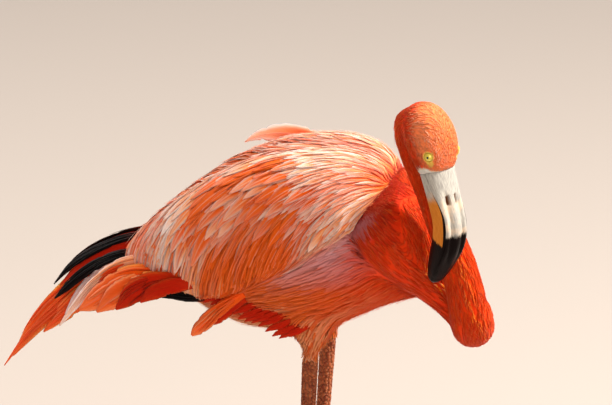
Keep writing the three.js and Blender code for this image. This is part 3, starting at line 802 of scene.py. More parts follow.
def lance(share):
    """Half width of a long feather: a narrow root, level sides, a rounded point."""
    root = 0.4 + 0.6 * smooth(0, 0.35, share)
    tip = np.clip((share - 0.35) / 0.65, 0, 1)
    return root * np.maximum(1 - tip**1.8, 0.0) ** 0.85 + 0.012


def leaf(share):
    """Half width of a short body feather."""
    root = 0.5 + 0.5 * smooth(0, 0.45, share)
    tip = np.clip((share - 0.35) / 0.65, 0, 1)
    return root * np.maximum(1 - tip**2.2, 0.0) ** 0.7 + 0.02


def scute(share):
    """Half width of a rounded horny plate."""
    return np.maximum(1 - np.abs(2 * share - 1) ** 3.0, 0.0) ** 0.5 + 0.05


def ladder(rows, around):
    """Faces of a closed tube of rings of points, with both ends capped."""
    base = np.arange(rows - 1)[:, None] * around
    j = np.arange(around)[None, :]
    a, b = base + j, base + (j + 1) % around
    quads = np.stack([a, b, b + around, a + around], -1).reshape(-1, 4).tolist()
    return quads + [list(range(around))[::-1], list(range((rows - 1) * around, rows * around))]


def face_outward(mesh):
    """Turns the faces of closed shells outwards."""
    shell = bmesh.new()
    shell.from_mesh(mesh)
    bmesh.ops.recalc_face_normals(shell, faces=shell.faces)
    shell.to_mesh(mesh)
    shell.free()


def pattern(name, rows, loop, outline):
    """A blade of so many rows, tagged with what its points know about themselves."""
    shares = 1 - (1 - np.linspace(0, 1, rows + 1)) ** 1.15
    across = np.tile([a for a, _ in loop], rows + 1).astype(float)
    lift = np.tile([b for _, b in loop], rows + 1).astype(float)
    along = np.repeat(shares, len(loop))
    span = across * outline(along)
    mesh = bpy.data.meshes.new(name)
    blank = np.stack([span * 0.2, along, lift * 0.02], 1)
    mesh.from_pydata(blank.tolist(), [], ladder(rows + 1, len(loop)))
    face_outward(mesh)
    mesh.shade_smooth()
    for key, values in {"across": across, "along": along, "lift": lift, "span": span}.items():
        set_values(mesh, key, values)
    made = new_object(name, mesh)
    made.hide_render = True
    made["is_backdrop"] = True
    print(name, "faces:", len(mesh.polygons))
    return made


long_feather = pattern("pattern_long", 11, FINE_LOOP, lance)
body_feather = pattern("pattern_body", 7, PLAIN_LOOP, leaf)
short_feather = pattern("pattern_short", 3, SMALL_LOOP, leaf)
tiny_feather = pattern("pattern_tiny", 2, SMALL_LOOP, leaf)
plate = pattern("pattern_plate", 4, SMALL_LOOP, scute)

# %% [markdown]
# ## A coat that follows the skin
# Straight feathers stuck on a round body poke out at their tips. Here every feather first walks over
# the skin: from its root it takes a few steps along the local lie, and after each step it is drawn
# back to the nearest skin. Where the body ends, or drops away under the wing's edge, the walk lets go
# and the feather runs on free, as a real one does. The pattern is then bent along that walk, raised
# towards its tip so that it overlaps the feathers behind, and given slightly ragged edges.

# %% Coat tree
WALK = 6  # steps from root to tip
MOST_ROOTS = 4e6  # per square metre, more than the spacing ever allows
PATCH = 0.003  # the size of one feather on the unwrap
VEC = "FLOAT_VECTOR"
COAT_SIZES = {"Spacing": 3.0, "Rise": 4.0, "Thick": 0.4, "Splay": 0.12, "Ragged": 0.1}
COAT_SIZES |= {"Camber": 0.12, "Stray": 1.0, "Long": 1.0, "Wide": 1.0}
IN_MM = ("Spacing", "Rise", "Thick", "Stray")  # the other sizes are shares


def coat_tree():
    """The tree that grows one coat of feathers over the skin."""
    tree = bpy.data.node_groups.new("coat", "GeometryNodeTree")
    wanted = [("Skin", "Geometry"), ("Feather", "Object"), ("Finish", "Material"), ("Seed", "Int")]
    add_sockets(tree, "INPUT", wanted + [(label, "Float") for label in COAT_SIZES])
    add_sockets(tree, "OUTPUT", [("Coat", "Geometry")])
    g = Wiring(tree)
    given = tree.nodes.new("NodeGroupInput").outputs
    roots = g.node("GeometryNodeDistributePointsOnFaces", {"distribute_method": "POISSON"})
    values = {"Mesh": given["Skin"], "Distance Min": given["Spacing"], "Density Max": MOST_ROOTS}
    values |= {"Density Factor": g.named("grow"), "Seed": given["Seed"]}
    dots = g.fill(roots, values).outputs["Points"]
    dots = g.store(dots, "root_map", g.named("OFBake", VEC), VEC)
    dots = g.store(dots, "tone", g.random(0.0, 1.0, 11))
    size = g.named("reach") * g.random(0.78, 1.16, 12) * given["Long"]
    dots = g.store(dots, "size", size)
    step = g.math("DIVIDE", g.named("size"), float(WALK))
    normal, flow = g.named("up", VEC), g.named("lie", VEC)
    side = g.vector("CROSS_PRODUCT", flow, normal)
    swing = g.random(-1.0, 1.0, 13) * given["Splay"]
    way = g.vector("NORMALIZE", g.vector("ADD", flow, g.scaled(side, swing)))
    dots = g.store(dots, "way0", way, VEC)
    dots = g.store(dots, "top0", g.vector("NORMALIZE", normal), VEC)
    position = g.get("GeometryNodeInputPosition")
    dots = g.store(dots, "at0", position, VEC)

    def nearest(value, where):
        """What the skin says at the spot nearest to a place."""
        made = g.node("GeometryNodeSampleNearestSurface", {"data_type": VEC})
        values = {"Mesh": given["Skin"], "Value": value, "Sample Position": where}
        return g.fill(made, values).outputs["Value"]

    for k in range(1, WALK + 1):
        before, at = (g.named(f"{key}{k - 1}", VEC) for key in ("way", "at"))
        ahead = g.vector("ADD", at, g.scaled(before, step))
        dots = g.store(dots, f"at{k}", ahead, VEC)
        ahead = g.named(f"at{k}", VEC)
        ground = nearest(position, ahead)
        gap = g.math("DIVIDE", g.vector("DISTANCE", ahead, ground), step)
        hold = 1.0 - g.soft(0.3, 0.8, gap)
        dots = g.store(dots, "hold", hold)
        hold = g.named("hold")
        top = g.mix(hold, g.named(f"top{k - 1}", VEC), nearest(normal, ahead))
        dots = g.store(dots, f"top{k}", g.vector("NORMALIZE", top), VEC)
        follow = g.mix(hold * 0.5, before, nearest(flow, ahead))
        up_now = g.named(f"top{k}", VEC)
        rising = g.vector("DOT_PRODUCT", follow, up_now) * hold
        follow = g.vector("SUBTRACT", follow, g.scaled(up_now, rising))
        dots = g.store(dots, f"way{k}", g.vector("NORMALIZE", follow), VEC)
        dots = g.store(dots, f"at{k}", g.mix(hold, ahead, ground), VEC)

    shape = g.fill(g.node("GeometryNodeObjectInfo"), {"Object": given["Feather"]})
    placed = g.get("GeometryNodeInstanceOnPoints", None, dots, None, shape.outputs["Geometry"])
    coat = g.get("GeometryNodeRealizeInstances", None, placed)

    along, across, lift = g.named("along"), g.named("across"), g.named("lift")

    def walked(key):
        """A value noted along the walk, for each point's share of the way."""
        value = g.named(f"{key}0", VEC)
        for k in range(1, WALK + 1):
            part = g.math("SUBTRACT", along * float(WALK), float(k - 1), clamp=True)
            value = g.mix(part, value, g.named(f"{key}{k}", VEC))
        return value

    spine, way, top = walked("at"), g.vector("NORMALIZE", walked("way")), walked("top")
    side = g.vector("NORMALIZE", g.vector("CROSS_PRODUCT", way, top))
    width = g.named("size") * g.named("slim") * given["Wide"]
    edge = g.math("POWER", g.math("ABSOLUTE", across), 4.0)
    rag = edge * given["Ragged"] * g.random(-1.0, 0.6, 14)
    out = g.named("span") * (1.0 + rag) * 0.5 * width
    rise = along * given["Rise"] + along * (g.named("tone") * given["Stray"])
    rise = rise + lift * given["Thick"] - across * across * (width * given["Camber"])
    coat = g.store(coat, "soft_up", g.vector("NORMALIZE", top), VEC)
    final = g.vector("ADD", spine, g.vector("ADD", g.scaled(side, out), g.scaled(top, rise)))
    coat = g.get("GeometryNodeSetPosition", None, coat, None, final)
    on_map = (along - 0.5) * PATCH
    patch = g.get("ShaderNodeCombineXYZ", None, across * (PATCH / 2), on_map)
    spot = g.vector("ADD", g.named("root_map", VEC), patch)
    coat = g.get("GeometryNodeRemoveAttribute", None, coat, "OFBake")
    coat = g.store(coat, "OFBake", spot, "FLOAT2", "CORNER")
    coat = g.get("GeometryNodeSetMaterial", None, coat, None, given["Finish"])
    out_node = tree.nodes.new("NodeGroupOutput")
    g.feed(out_node.inputs[0], coat)
    return tree


COAT = coat_tree()
print("coat tree nodes:", len(COAT.nodes))

# %% [markdown]
# The tree is used many times, for one region after another. The mask says where feathers grow; the
# spacing is for the smallest feathers there, and larger ones are thinned out to match. The result is
# copied out as a plain mesh, its walking notes are dropped, and the modifier goes away again.

# %% Growing one coat
KEEP = {"across", "along", "tone", "soft_up", "OFBake", "position", *masks}


def grow_coat(name, where, spacing, feather, finish, slot, seed, **sizes):
    """Runs the tree over the skin and keeps what has grown as a plain mesh."""
    set_values(skin_mesh, "grow", np.clip(where, 0, 1))
    modifier = skin.modifiers.new("coat", "NODES")
    modifier.node_group = COAT
    values = COAT_SIZES | {"Spacing": spacing} | sizes
    values |= {label: values[label] * MM for label in IN_MM}
    values |= {"Feather": feather, "Finish": finish, "Seed": seed}
    for item in COAT.interface.items_tree:
        if item.in_out == "INPUT" and item.name in values:
            modifier[item.identifier] = values[item.name]
    shown = skin.evaluated_get(bpy.context.evaluated_depsgraph_get())
    mesh = bpy.data.meshes.new_from_object(shown)
    skin.modifiers.remove(modifier)
    mesh.name = name
    for layer in [a.name for a in mesh.attributes]:
        if layer not in KEEP and not layer.startswith((".", "sharp", "material")):
            mesh.attributes.remove(mesh.attributes[layer])
    coat = new_object(name, mesh)
    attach(coat, "root")
    count = len(mesh.polygons) // len(feather.data.polygons)
    print(f"{name}: {count} feathers, {triangles_in(mesh)} triangles")

# %% [markdown]
# ## Plumage colour
# A flamingo's colour comes from its food, and every feather carries it unevenly: saturated near the
# root and along the rib, paler at the rim, almost white where the sun has bleached a tip. One shared
# group mixes that from the masks on the surface, and the same masks also lay painted shade, painted
# light and a painted mauve reflection of the sky into the colour. Streaks run along the vane because
# the noise is stretched in the feather's own across and along directions.

# %% Shared plumage group
def shader_group(name, inputs=()):
    """A new group that puts out a colour, a height and a roughness."""
    tree = bpy.data.node_groups.new(name, "ShaderNodeTree")
    add_sockets(tree, "INPUT", inputs)
    add_sockets(tree, "OUTPUT", [("Colour", "Color"), ("Height", "Float"), ("Roughness", "Float")])
    return tree, Wiring(tree), tree.nodes.new("NodeGroupOutput")


def mask_of(s, name):
    return Value(s, s.node("ShaderNodeAttribute", {"attribute_name": name}).outputs["Fac"])


def masks_of(s, names):
    """Values stored on the surface, by their names."""
    return [mask_of(s, name) for name in names.split()]


def joined(s, x, y, z):
    """Three numbers as one vector."""
    return s.get("ShaderNodeCombineXYZ", None, x, y, z)


def noise(s, vector, scale, detail=2.0, rough=0.5):
    values = {"Vector": vector, "Scale": scale, "Detail": detail, "Roughness": rough}
    return Value(s, s.fill(s.node("ShaderNodeTexNoise"), values).outputs[0])


def plumage_group():
    """Every colour that skin and feathers can have, chosen by the masks."""
    tree, s, out = shader_group("plumage")
    across, along, tone, lane = masks_of(s, "across along tone lane")
    scarlet, pale, dark, bare = masks_of(s, "scarlet pale dark bare")
    ink, amber, cool, chalky, horny = masks_of(s, "ink amber cool chalky horny")
    edge = s.math("ABSOLUTE", across)
    shift = tone * 47.0
    streak = noise(s, joined(s, across * 1.6 + shift, along * 0.9, shift), 1.7, 2.0)
    slant = along * 9.0 - edge * 1.6
    barbs = noise(s, joined(s, across * 1.2, slant, shift), 3.0, 2.0)
    body = s.node("ShaderNodeTexCoord").outputs["Object"]
    orange = s.soft(0.62, 1.04, streak * 0.8 + tone * 0.3 + lane * 1.1 - along * 0.2)
    colour = s.blend(orange, "FF9A5C", "F45606")
    rib = s.soft(0.16, 0.0, edge) * s.soft(0.0, 0.4, along)
    colour = s.blend(rib * 0.5, colour, "FFC7B0")
    rim = s.soft(0.35, 1.0, edge) * s.soft(0.15, 0.7, along)
    tip = s.soft(0.45, 1.0, along) * (1.15 - tone)
    bleached = s.math("ADD", rim * 0.8, tip * 0.75, clamp=True)
    bleached = s.math("MULTIPLY", bleached * ((1.1 - lane) * 1.3), pale, clamp=True)
    colour = s.blend(bleached, colour, "FFE0D2")
    red = s.blend(s.soft(0.35, 0.75, streak + tone * 0.2), "FF4E12", "F03203")
    red = s.blend(s.soft(0.5, 1.0, along) * (tone * 0.35), red, "FF8A55")
    colour = s.blend(scarlet, colour, red)
    # Painted shade: dark red, which on some feathers is also their real deep red.
    colour = s.blend(dark * 0.85, colour, "A01003")
    # Amber: partly its own colour, partly painted shade on the lower body and painted light on the
    # crown.
    peel = s.blend(orange, "FA9058", "F0601A")
    colour = s.blend(amber * 0.85, colour, peel)
    # Painted reflection of the sky, in mauve.
    colour = s.blend(cool * 0.7, colour, "DDB4BE")
    colour = s.blend(ink, colour, "0B0708")
    colour = s.blend(s.soft(0.35, 0.0, along) * 0.2, colour, "D8400C")
    darken = {"data_type": "RGBA", "blend_type": "MULTIPLY"}
    colour = s.get("ShaderNodeMix", darken, 1.0, colour, 0.9 + barbs * 0.2)
    skin_tone = s.blend(noise(s, body, 300.0), "CDBF58", "DD9A4C")
    colour = s.blend(bare, colour, skin_tone)
    chalk = s.blend(noise(s, body, 150.0, 3.0), "DDD9CF", "B4AFA8")
    colour = s.blend(chalky, colour, chalk)
    mottle = noise(s, body, 120.0, 3.0) * 0.7 + tone * 0.4
    shank = s.blend(s.soft(0.35, 0.85, mottle), "B2603A", "843E2A")
    shank = s.blend(s.soft(0.75, 0.0, along) * 0.35, shank, "5A2C22")
    colour = s.blend(horny, colour, shank)
    height, rough = barbs * 0.6 + rib * 0.5, 0.5 + streak * 0.25
    s.fill(out, {"Colour": colour, "Height": height, "Roughness": rough})
    return tree


PLUMAGE = plumage_group()


def finish_from(name, group, bump, softness=0.0, **values):
    """A material whose colour, relief and roughness come from a shared group. With softness, the
    light sees less of each blade and more of the body under it, as it does on down."""
    material = bpy.data.materials.new(name)
    material.use_nodes = True
    s = Wiring(material.node_tree)
    shader = material.node_tree.nodes["Principled BSDF"]
    looks = s.node("ShaderNodeGroup", {"node_tree": group}).outputs
    values = {label.replace("_", " "): value for label, value in values.items()}
    s.fill(shader, values | {"Base Color": looks["Colour"], "Roughness": looks["Roughness"]})
    relief = s.fill(s.node("ShaderNodeBump"), {"Height": looks["Height"], "Distance": bump * MM})
    if softness:
        flat = s.node("ShaderNodeNewGeometry").outputs["Normal"]
        below = s.node("ShaderNodeAttribute", {"attribute_name": "soft_up"}).outputs["Vector"]
        outer = s.soft(-0.1, 0.35, s.vector("DOT_PRODUCT", flat, below))
        share = outer * softness  # none on a feather's underside
        s.feed(relief.inputs["Normal"], s.vector("NORMALIZE", s.mix(share, flat, below)))
    s.feed(shader.inputs["Normal"], relief.outputs["Normal"])
    return material


PLUMAGE_FINISH = {
    "Sheen_Weight": 0.02, "Sheen_Roughness": 0.45, "Specular_IOR_Level": 0.05,
    "Subsurface_Weight": 0.32, "Subsurface_Scale": 2.2 * MM, "Subsurface_Radius": (1.0, 0.7, 0.5),
}
feather_finish = finish_from("wing_feathers", PLUMAGE, 0.3, 0.75, **PLUMAGE_FINISH)
down_finish = finish_from("soft_feathers", PLUMAGE, 0.2, 0.88, **PLUMAGE_FINISH)
plume_finish = finish_from("long_feathers", PLUMAGE, 0.5, **PLUMAGE_FINISH)
skin_finish = finish_from("skin_under_feathers", PLUMAGE, 0.2, **PLUMAGE_FINISH)
skin_mesh.materials.clear()
skin_mesh.materials.append(skin_finish)
print("plumage group nodes:", len(PLUMAGE.nodes))

# %% [markdown]
# ## The coats
# From the back of the body to the face, each region gets its own coat: long lances on the wings,
# rows of broad coverts over their upper half, thin wisps over both, softer leaves on the flanks,
# belly and breast, short feathers on the neck and tiny ones on the head. All are grown by the same
# tree, and only their sizes set them apart. Each is kept under two hundred thousand triangles.

# %% Growing the coats
SOFT = {"Thick": 0.08, "Ragged": 0.25, "Camber": 0.0}


def thinning(smallest):
    """Where feathers are longer than the smallest ones here, fewer roots are needed."""
    return np.clip((smallest / np.maximum(length, 0.1)) ** 2, 0, 1)


before_tail = smooth(-190, -176, forward)  # the tail and its plumes cover the rest
covert_rows = window(around, 14, 24, 46, 66) * window(forward, -128, -104, 34, 44)
for name, sign in SIDES.items():
    mine = left * sign >= 0
    above, below = belongs["upper"] * mine, belongs["lower"] * mine
    grow_coat(
        f"coat_wing_{name}", above * before_tail * thinning(46), 5.0, long_feather,
        feather_finish, "plumage_pink", 3,
        Rise=1.6, Thick=0.08, Splay=0.16, Ragged=0.2, Camber=0.0, Stray=0.3,
    )
    grow_coat(
        f"coat_coverts_{name}", above * covert_rows, 14.0, long_feather,
        feather_finish, "plumage_pink", 12, Wide=2.1, Long=0.7,
        Rise=2.8, Thick=0.1, Splay=0.1, Ragged=0.12, Camber=0.02, Stray=0.5,
    )
    grow_coat(
        f"coat_wisps_{name}", (above + 0.7 * below) * before_tail * thinning(26), 4.2, body_feather,
        feather_finish, "plumage_pink", 4, Rise=3.1, Wide=0.4, Long=0.8, Splay=0.2, Stray=0.5, **SOFT,
    )
    grow_coat(
        f"coat_body_{name}", below * before_tail * thinning(30), 3.1, body_feather,
        down_finish, "plumage_pink", 5, Rise=1.5, Splay=0.14, Stray=0.2, **SOFT,
    )
grow_coat(
    "coat_neck", belongs["neck"] * thinning(7), 1.55, short_feather, down_finish,
    "plumage_scarlet", 6, Rise=0.7, Splay=0.14, Stray=0.08, **SOFT | {"Thick": 0.1},
)
grow_coat(
    "coat_head", belongs["head"] * (bare < 0.5) * thinning(2.4), 0.72, tiny_feather, down_finish,
    "plumage_scarlet", 7, Rise=0.3, Splay=0.2, Stray=0.08, **SOFT | {"Thick": 0.05},
)
grow_coat(
    "coat_thighs", belongs["thigh"] * thinning(9), 2.2, short_feather, down_finish,
    "plumage_pink", 8, Rise=2.4, Splay=0.2, **SOFT,
)

# %% [markdown]
# Below the thighs the leg is bare and covered in small horny plates. They grow in the same way as
# the feathers do, from a round pattern, nearly as wide as long, with the lower edge just lifted.

# %% Plates on the legs
grow_coat(
    "leg_plates", belongs["leg"] * 1.0, 3.3, plate, skin_finish, "leg_scales", 9,
    Rise=0.35, Thick=0.3, Splay=0.1, Ragged=0.0, Camber=0.02, Stray=0.0,
)

# %% [markdown]
# ## Lofted horn and blades
# The bill, the claws and the long feathers are all rows of points joined up like a ladder. One
# helper closes such rows into a solid, turns its faces outward and stores what each point knows
# about itself; another runs a smooth line through a few given stations.

# %% Loft helpers
def glide(keys, values, x):
    """A smooth curve through values set at rising keys."""
    keys, values = np.asarray(keys, float), np.asarray(values, float)
    flat = values.ndim == 1
    if flat:
        values = values[:, None]
    slopes = np.gradient(values, keys, axis=0)
    i = np.clip(np.searchsorted(keys, x, side="right") - 1, 0, len(keys) - 2)
    span = (keys[i + 1] - keys[i])[:, None]
    t = (np.asarray(x) - keys[i])[:, None] / span
    start, end = values[i], values[i + 1]
    out = start * (2 * t**3 - 3 * t**2 + 1) + end * (3 * t**2 - 2 * t**3)
    out += slopes[i] * span * (t**3 - 2 * t**2 + t) + slopes[i + 1] * span * (t**3 - t**2)
    return out[:, 0] if flat else out


def full_turn(count):
    """Angles all round, in radians, as one row."""
    return np.linspace(0, 2 * math.pi, count, endpoint=False)[None, :]


def solid(name, grids, material, values, unwrap=None):
    """One piece out of several closed ladders, with its point values and, if given, its unwrap."""
    points, faces, start = [], [], 0
    for grid in grids:
        faces += [[i + start for i in face] for face in ladder(*grid.shape[:2])]
        points.append(grid.reshape(-1, 3))
        start += grid.shape[0] * grid.shape[1]
    mesh = bpy.data.meshes.new(name)
    mesh.from_pydata(np.concatenate(points).tolist(), [], faces)
    face_outward(mesh)
    for face in mesh.polygons:
        face.use_smooth = len(face.vertices) == 4  # not the flat caps at the ends
    for key, parts in values.items():
        set_values(mesh, key, np.concatenate([np.ravel(p) for p in parts]))
    if unwrap is not None:
        spots = np.concatenate([u.reshape(-1, 2) for u in unwrap])
        order = read(mesh.loops, "vertex_index", 1, int)[:, 0]
        on_map = mesh.uv_layers.new(name="OFBake").uv
        on_map.foreach_set("vector", spots[order].ravel().astype(np.float32))
    mesh.materials.append(material)
    made = new_object(name, mesh)
    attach(made, "root")
    print(f"{name}: {triangles_in(mesh)} triangles")
    return made


print("loft helpers ready")

# %% [markdown]
# ## Horn
# The bill is living horn: chalky grey-white at the base with fine growth lines running down it, tan
# on the sides of the deep lower half, deepened there into painted shade, and glossy black at the tip
# behind a ragged edge. The colours follow the bill's own length, so the group reads how far along and
# how far round each point lies.

# %% Bill finish
BLACK_EDGE = 0.008  # half the width of the border of the black tip, as a share of the length


def bill_group():
    inputs = [("Tan side", "Float", 0.0), ("Black from", "Float", 0.5)]
    tree, s, out = shader_group("bill_horn", inputs)
    given = tree.nodes.new("NodeGroupInput").outputs
    share, girth, nostril = masks_of(s, "share girth nostril")
    body = s.node("ShaderNodeTexCoord").outputs["Object"]
    grain = noise(s, joined(s, girth * 9.0, share * 5.0, 0.0), 3.0, 4.0)
    cloud = noise(s, body, 90.0, 3.0)
    chalk = s.blend(s.soft(0.3, 0.7, grain), "BFBAAF", "938E88")
    blush = s.soft(0.42, 0.66, cloud) * s.soft(0.1, 0.3, share)
    chalk = s.blend(blush * 0.55, chalk, "EBC9A6")
    # Painted shade, partly real tan: the lower half's tan is deepened to the warm shade of its shaded
    # side and laid evenly all round it.
    amber = s.blend(grain, "D98A35", "B8621A")
    starts = s.soft(0.17, 0.29, share + cloud * 0.1)
    colour = s.blend(starts * given["Tan side"], chalk, amber)
    teeth = noise(s, joined(s, girth * 14.0, 0.0, 3.0), 2.0, 3.0)
    ragged = share + (teeth - 0.5) * 0.13
    border = Value(s, given["Black from"])
    low, high = border - BLACK_EDGE, border + BLACK_EDGE
    reach = 0.985 - s.soft(0.2, 0.5, share) * 0.15
    rim = s.math("GREATER_THAN", s.math("ABSOLUTE", girth), reach)
    rim = rim * s.soft(0.12, 0.17, share) * given["Tan side"]
    black = s.math("MAXIMUM", s.soft(low, high, ragged), rim)
    colour = s.blend(black, colour, s.blend(grain, "060203", "130807"))
    colour = s.blend(nostril, colour, "5A2E10")
    height, rough = grain + cloud * 0.3, 0.5 - black * 0.24 + grain * 0.12
    s.fill(out, {"Colour": colour, "Height": height, "Roughness": rough})
    return tree


BILL_HORN = bill_group()


def bill_finish(name, tan_side, black_from):
    """Horn with more or less tan, black from a given share of its length."""
    made = finish_from(name, BILL_HORN, 0.35, Specular_IOR_Level=0.05)
    group = next(n for n in made.node_tree.nodes if n.type == "GROUP").inputs
    group["Tan side"].default_value, group["Black from"].default_value = tan_side, black_from
    return made


print("horn group nodes:", len(BILL_HORN.nodes))

# %% [markdown]
# ## The bill
# A flamingo feeds head down, so its bill is built upside down: a deep trough below, a thin lid above,
# both bent sharply halfway. We sweep two half sections along one bent line. The lid gets a raised
# ridge with a groove on each side, and the open slits of the nostrils lie in those grooves. The two
# halves stay a little apart, and the lower one's rim is combed into the fine plates that strain food.

# %% Bill shape
BILL_BASE, BILL_STRAIGHT, BILL_ARC, BILL_TIP = 31, 42, 44, 45
BILL_BEND = math.radians(48)
BILL_LENGTH = BILL_STRAIGHT + BILL_ARC + BILL_TIP
NOSTRIL_DEPTH, GROOVE_DEPTH, RIDGE_HEIGHT = 2.2, 2.0, 1.1
COMB_GAP = 1.3  # from one straining plate to the next
BILL_ROWS = [  # share of length, half width, crown height, trough depth, middle, lid's share of width
    (0, 18.2, 13, 18, 0, 1), (0.16, 17.2, 9.5, 20.5, 1.5, 0.985), (0.34, 16.4, 7, 24, 3, 0.86),
    (0.5, 16, 6.5, 25.5, 3.6, 0.89), (0.64, 15.2, 6.5, 24, 3, 0.9), (0.78, 13.4, 6.5, 19, 1.5, 0.9),
    (0.9, 10.4, 6, 13, -0.5, 0.93), (0.97, 6.8, 4.5, 7, -2, 0.96), (1, 2.6, 2, 2.4, -3, 1),
]


def bill_line(share):
    """The bill's bent middle line: its points and which way is up at each of them."""
    distance = share * BILL_LENGTH
    radius = BILL_ARC / BILL_BEND
    turned = np.clip((distance - BILL_STRAIGHT) / BILL_ARC, 0, 1) * BILL_BEND
    beyond = np.maximum(distance - BILL_STRAIGHT - BILL_ARC, 0)
    ahead = np.minimum(distance, BILL_STRAIGHT) + radius * np.sin(turned) + beyond * np.cos(turned)
    drop = radius * (1 - np.cos(turned)) + beyond * np.sin(turned)
    middle = np.array([in_head(BILL_BASE + a, -2 - d) for a, d in zip(ahead, drop)])
    return middle, np.cos(turned)[:, None] * head_up + np.sin(turned)[:, None] * head_along


def bill_half(upper):
    """The lid or the trough: rings of points, outside and in, and what each point knows."""
    rows = np.array(BILL_ROWS, float)
    share = np.concatenate([[-0.02], np.linspace(0, 0.9, 90), np.linspace(0.905, 1, 24)])
    sizes = glide(rows[:, 0], rows[:, 1:], np.clip(share, 0, 1))
    wide, lid, trough, line, lid_share = sizes.T
    middle, rise = bill_line(share)
    arc = np.linspace(-1, 1, 45)
    lid_edge = np.arcsin(np.clip(lid_share, 0, 1))[:, None]  # where round the section the mouth opens
    gap = 0.012 + 0.012 * smooth(0.1, 0.2, share)[:, None]
    angle = arc[None, :] * (lid_edge if upper else math.pi - lid_edge - gap)
    over = np.sin(angle)
    crown = np.abs(np.cos(angle)) ** 0.8
    t = share[:, None]
    nostril = np.zeros((len(share), len(arc)))
    if upper:
        lift = crown * lid[:, None]
        run = window(t, 0.13, 0.25, 0.55, 0.8)
        groove = np.exp(-(((np.abs(over) - 0.44) / 0.14) ** 2)) * run
        ridge = np.exp(-((over / 0.22) ** 2)) * smooth(0.1, 0.3, t) * smooth(1.0, 0.8, t)
        rail = np.exp(-(((np.abs(over) - 0.74) / 0.1) ** 2)) * run
        slit = np.exp(-(((np.abs(over) - 0.3) / 0.1) ** 4))
        nostril = slit * smooth(0.18, 0.195, t) * smooth(0.275, 0.25, t)
        lift = lift - GROOVE_DEPTH * groove + RIDGE_HEIGHT * ridge + 0.5 * rail
        lift = lift - NOSTRIL_DEPTH * nostril
        lift = np.maximum(lift, 0.5 * crown)
    else:
        keel = np.exp(-((over / 0.3) ** 2)) * smooth(0.2, 0.5, t)
        at_rim = np.exp(-(((np.abs(arc[None, :]) - 1) / 0.03) ** 2))
        comb = np.sin(t * BILL_LENGTH * 2 * np.pi / COMB_GAP) * at_rim
        below = crown * (trough[:, None] + 0.6 * keel)
        lift = np.where(np.cos(angle) > 0, -below, crown * lid[:, None])
        lift = lift - 0.3 * comb * smooth(0.12, 0.2, t)
    x = over * wide[:, None]
    outer_lift = line[:, None] + lift
    mouth = arc[1:-1][::-1]
    inner_x = mouth[None, :] * x[:, -1:]
    inner_lift = line[:, None] + lid[:, None] * np.cos(lid_edge) ** 0.8 - (0.1 if upper else 0.6)
    inner_lift = np.broadcast_to(inner_lift, inner_x.shape)
    xs = np.concatenate([x, inner_x], 1)
    lifts = np.concatenate([outer_lift, inner_lift], 1)
    grid = middle[:, None] + (head_right * xs[..., None] + rise[:, None] * lifts[..., None]) * MM
    girth = np.concatenate([np.broadcast_to(arc, x.shape), np.broadcast_to(mouth, inner_x.shape)], 1)
    shares = np.broadcast_to(t, xs.shape)
    dent = np.concatenate([nostril, np.zeros_like(inner_x)], 1)
    return grid, {"share": [shares], "girth": [girth], "nostril": [dent]}


grid, knows = bill_half(True)
horn = bill_finish("bill_upper_horn", 0.0, 0.485)
bill_upper = solid("bill_upper_horn", [grid], horn, knows)
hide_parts("bill_upper")
grid, knows = bill_half(False)
horn = bill_finish("bill_lower_horn", 1.0, 0.56)
bill_lower = solid("bill_lower_horn", [grid], horn, knows)
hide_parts("bill_lower")

# %% [markdown]
# ## The eyes
# The eye is a glossy ball: a small black pupil, a pale yellow iris with fine spokes and a darker
# outer ring. Every point stores how far it lies from the eye's axis, and the rings are drawn from that.

# %% Eyeballs
EYE_RINGS, EYE_SPOKES = 40, 48
POLE = 0.02  # the ends of the ball stay this open, in radians


def eye_group():
    tree, s, out = shader_group("eye")
    ring, spoke = masks_of(s, "ring spoke")
    spokes = noise(s, joined(s, spoke * 40.0, ring * 2.0, 0.0), 1.0, 3.0)
    iris = s.blend(spokes, "F0DE4A", "B59A22")
    iris = s.blend(s.soft(0.55, 0.75, ring) * 0.5, iris, "8A5A18")
    colour = s.blend(s.soft(0.2, 0.17, ring), iris, "050303")
    colour = s.blend(s.soft(0.76, 0.84, ring), colour, "4A2E10")
    s.fill(out, {"Colour": colour, "Height": spokes, "Roughness": 0.12 + spokes * 0.05})
    return tree


eye_finish = finish_from("eye", eye_group(), 0.02, Coat_Weight=1.0, Coat_Roughness=0.02)
for side, centre in EYES.items():
    gaze, ahead, above = EYE_AXES[side]
    polar = np.linspace(POLE, math.pi - POLE, EYE_RINGS)[:, None]
    turn = full_turn(EYE_SPOKES)
    bulge = 1 + 0.05 * smooth(0.75, 0.2, polar)
    ball = (np.cos(polar) * bulge)[..., None] * gaze
    for across, axis in ((np.cos(turn), ahead), (np.sin(turn), above)):
        ball = ball + (np.sin(polar) * across * bulge)[..., None] * axis
    ring = np.sin(polar) + 2 * (polar > math.pi / 2)  # more than 1 on the hidden back
    spoke = np.abs(turn / math.pi - 1)
    knows = {"ring": [ring + 0 * turn], "spoke": [spoke + 0 * polar]}
    grid = centre + ball * EYE_RADIUS
    eye = solid(f"eyeball_{side}", [grid], eye_finish, knows)
    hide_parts(f"eye_{side}")

# %% [markdown]
# ## Long feathers
# The plumes over the tail, the black flight feathers under them and the tail itself show as single
# feathers, so each is modelled by itself: a shaft, two vanes that dip beside it, and an edge split
# where barbs have come apart. The table holds the middle line of each one, in mm on the bird: out
# from the middle plane, forward, height, half width. The number before it is the lean in degrees,
# which turns the vane about its own length. A second table says how each kind is coloured.

# %% Table of long feathers
BLACK, ORANGE, DEEP, MAUVE, AMBER, PALE = "black", "orange", "deep", "mauve", "amber", "pale"
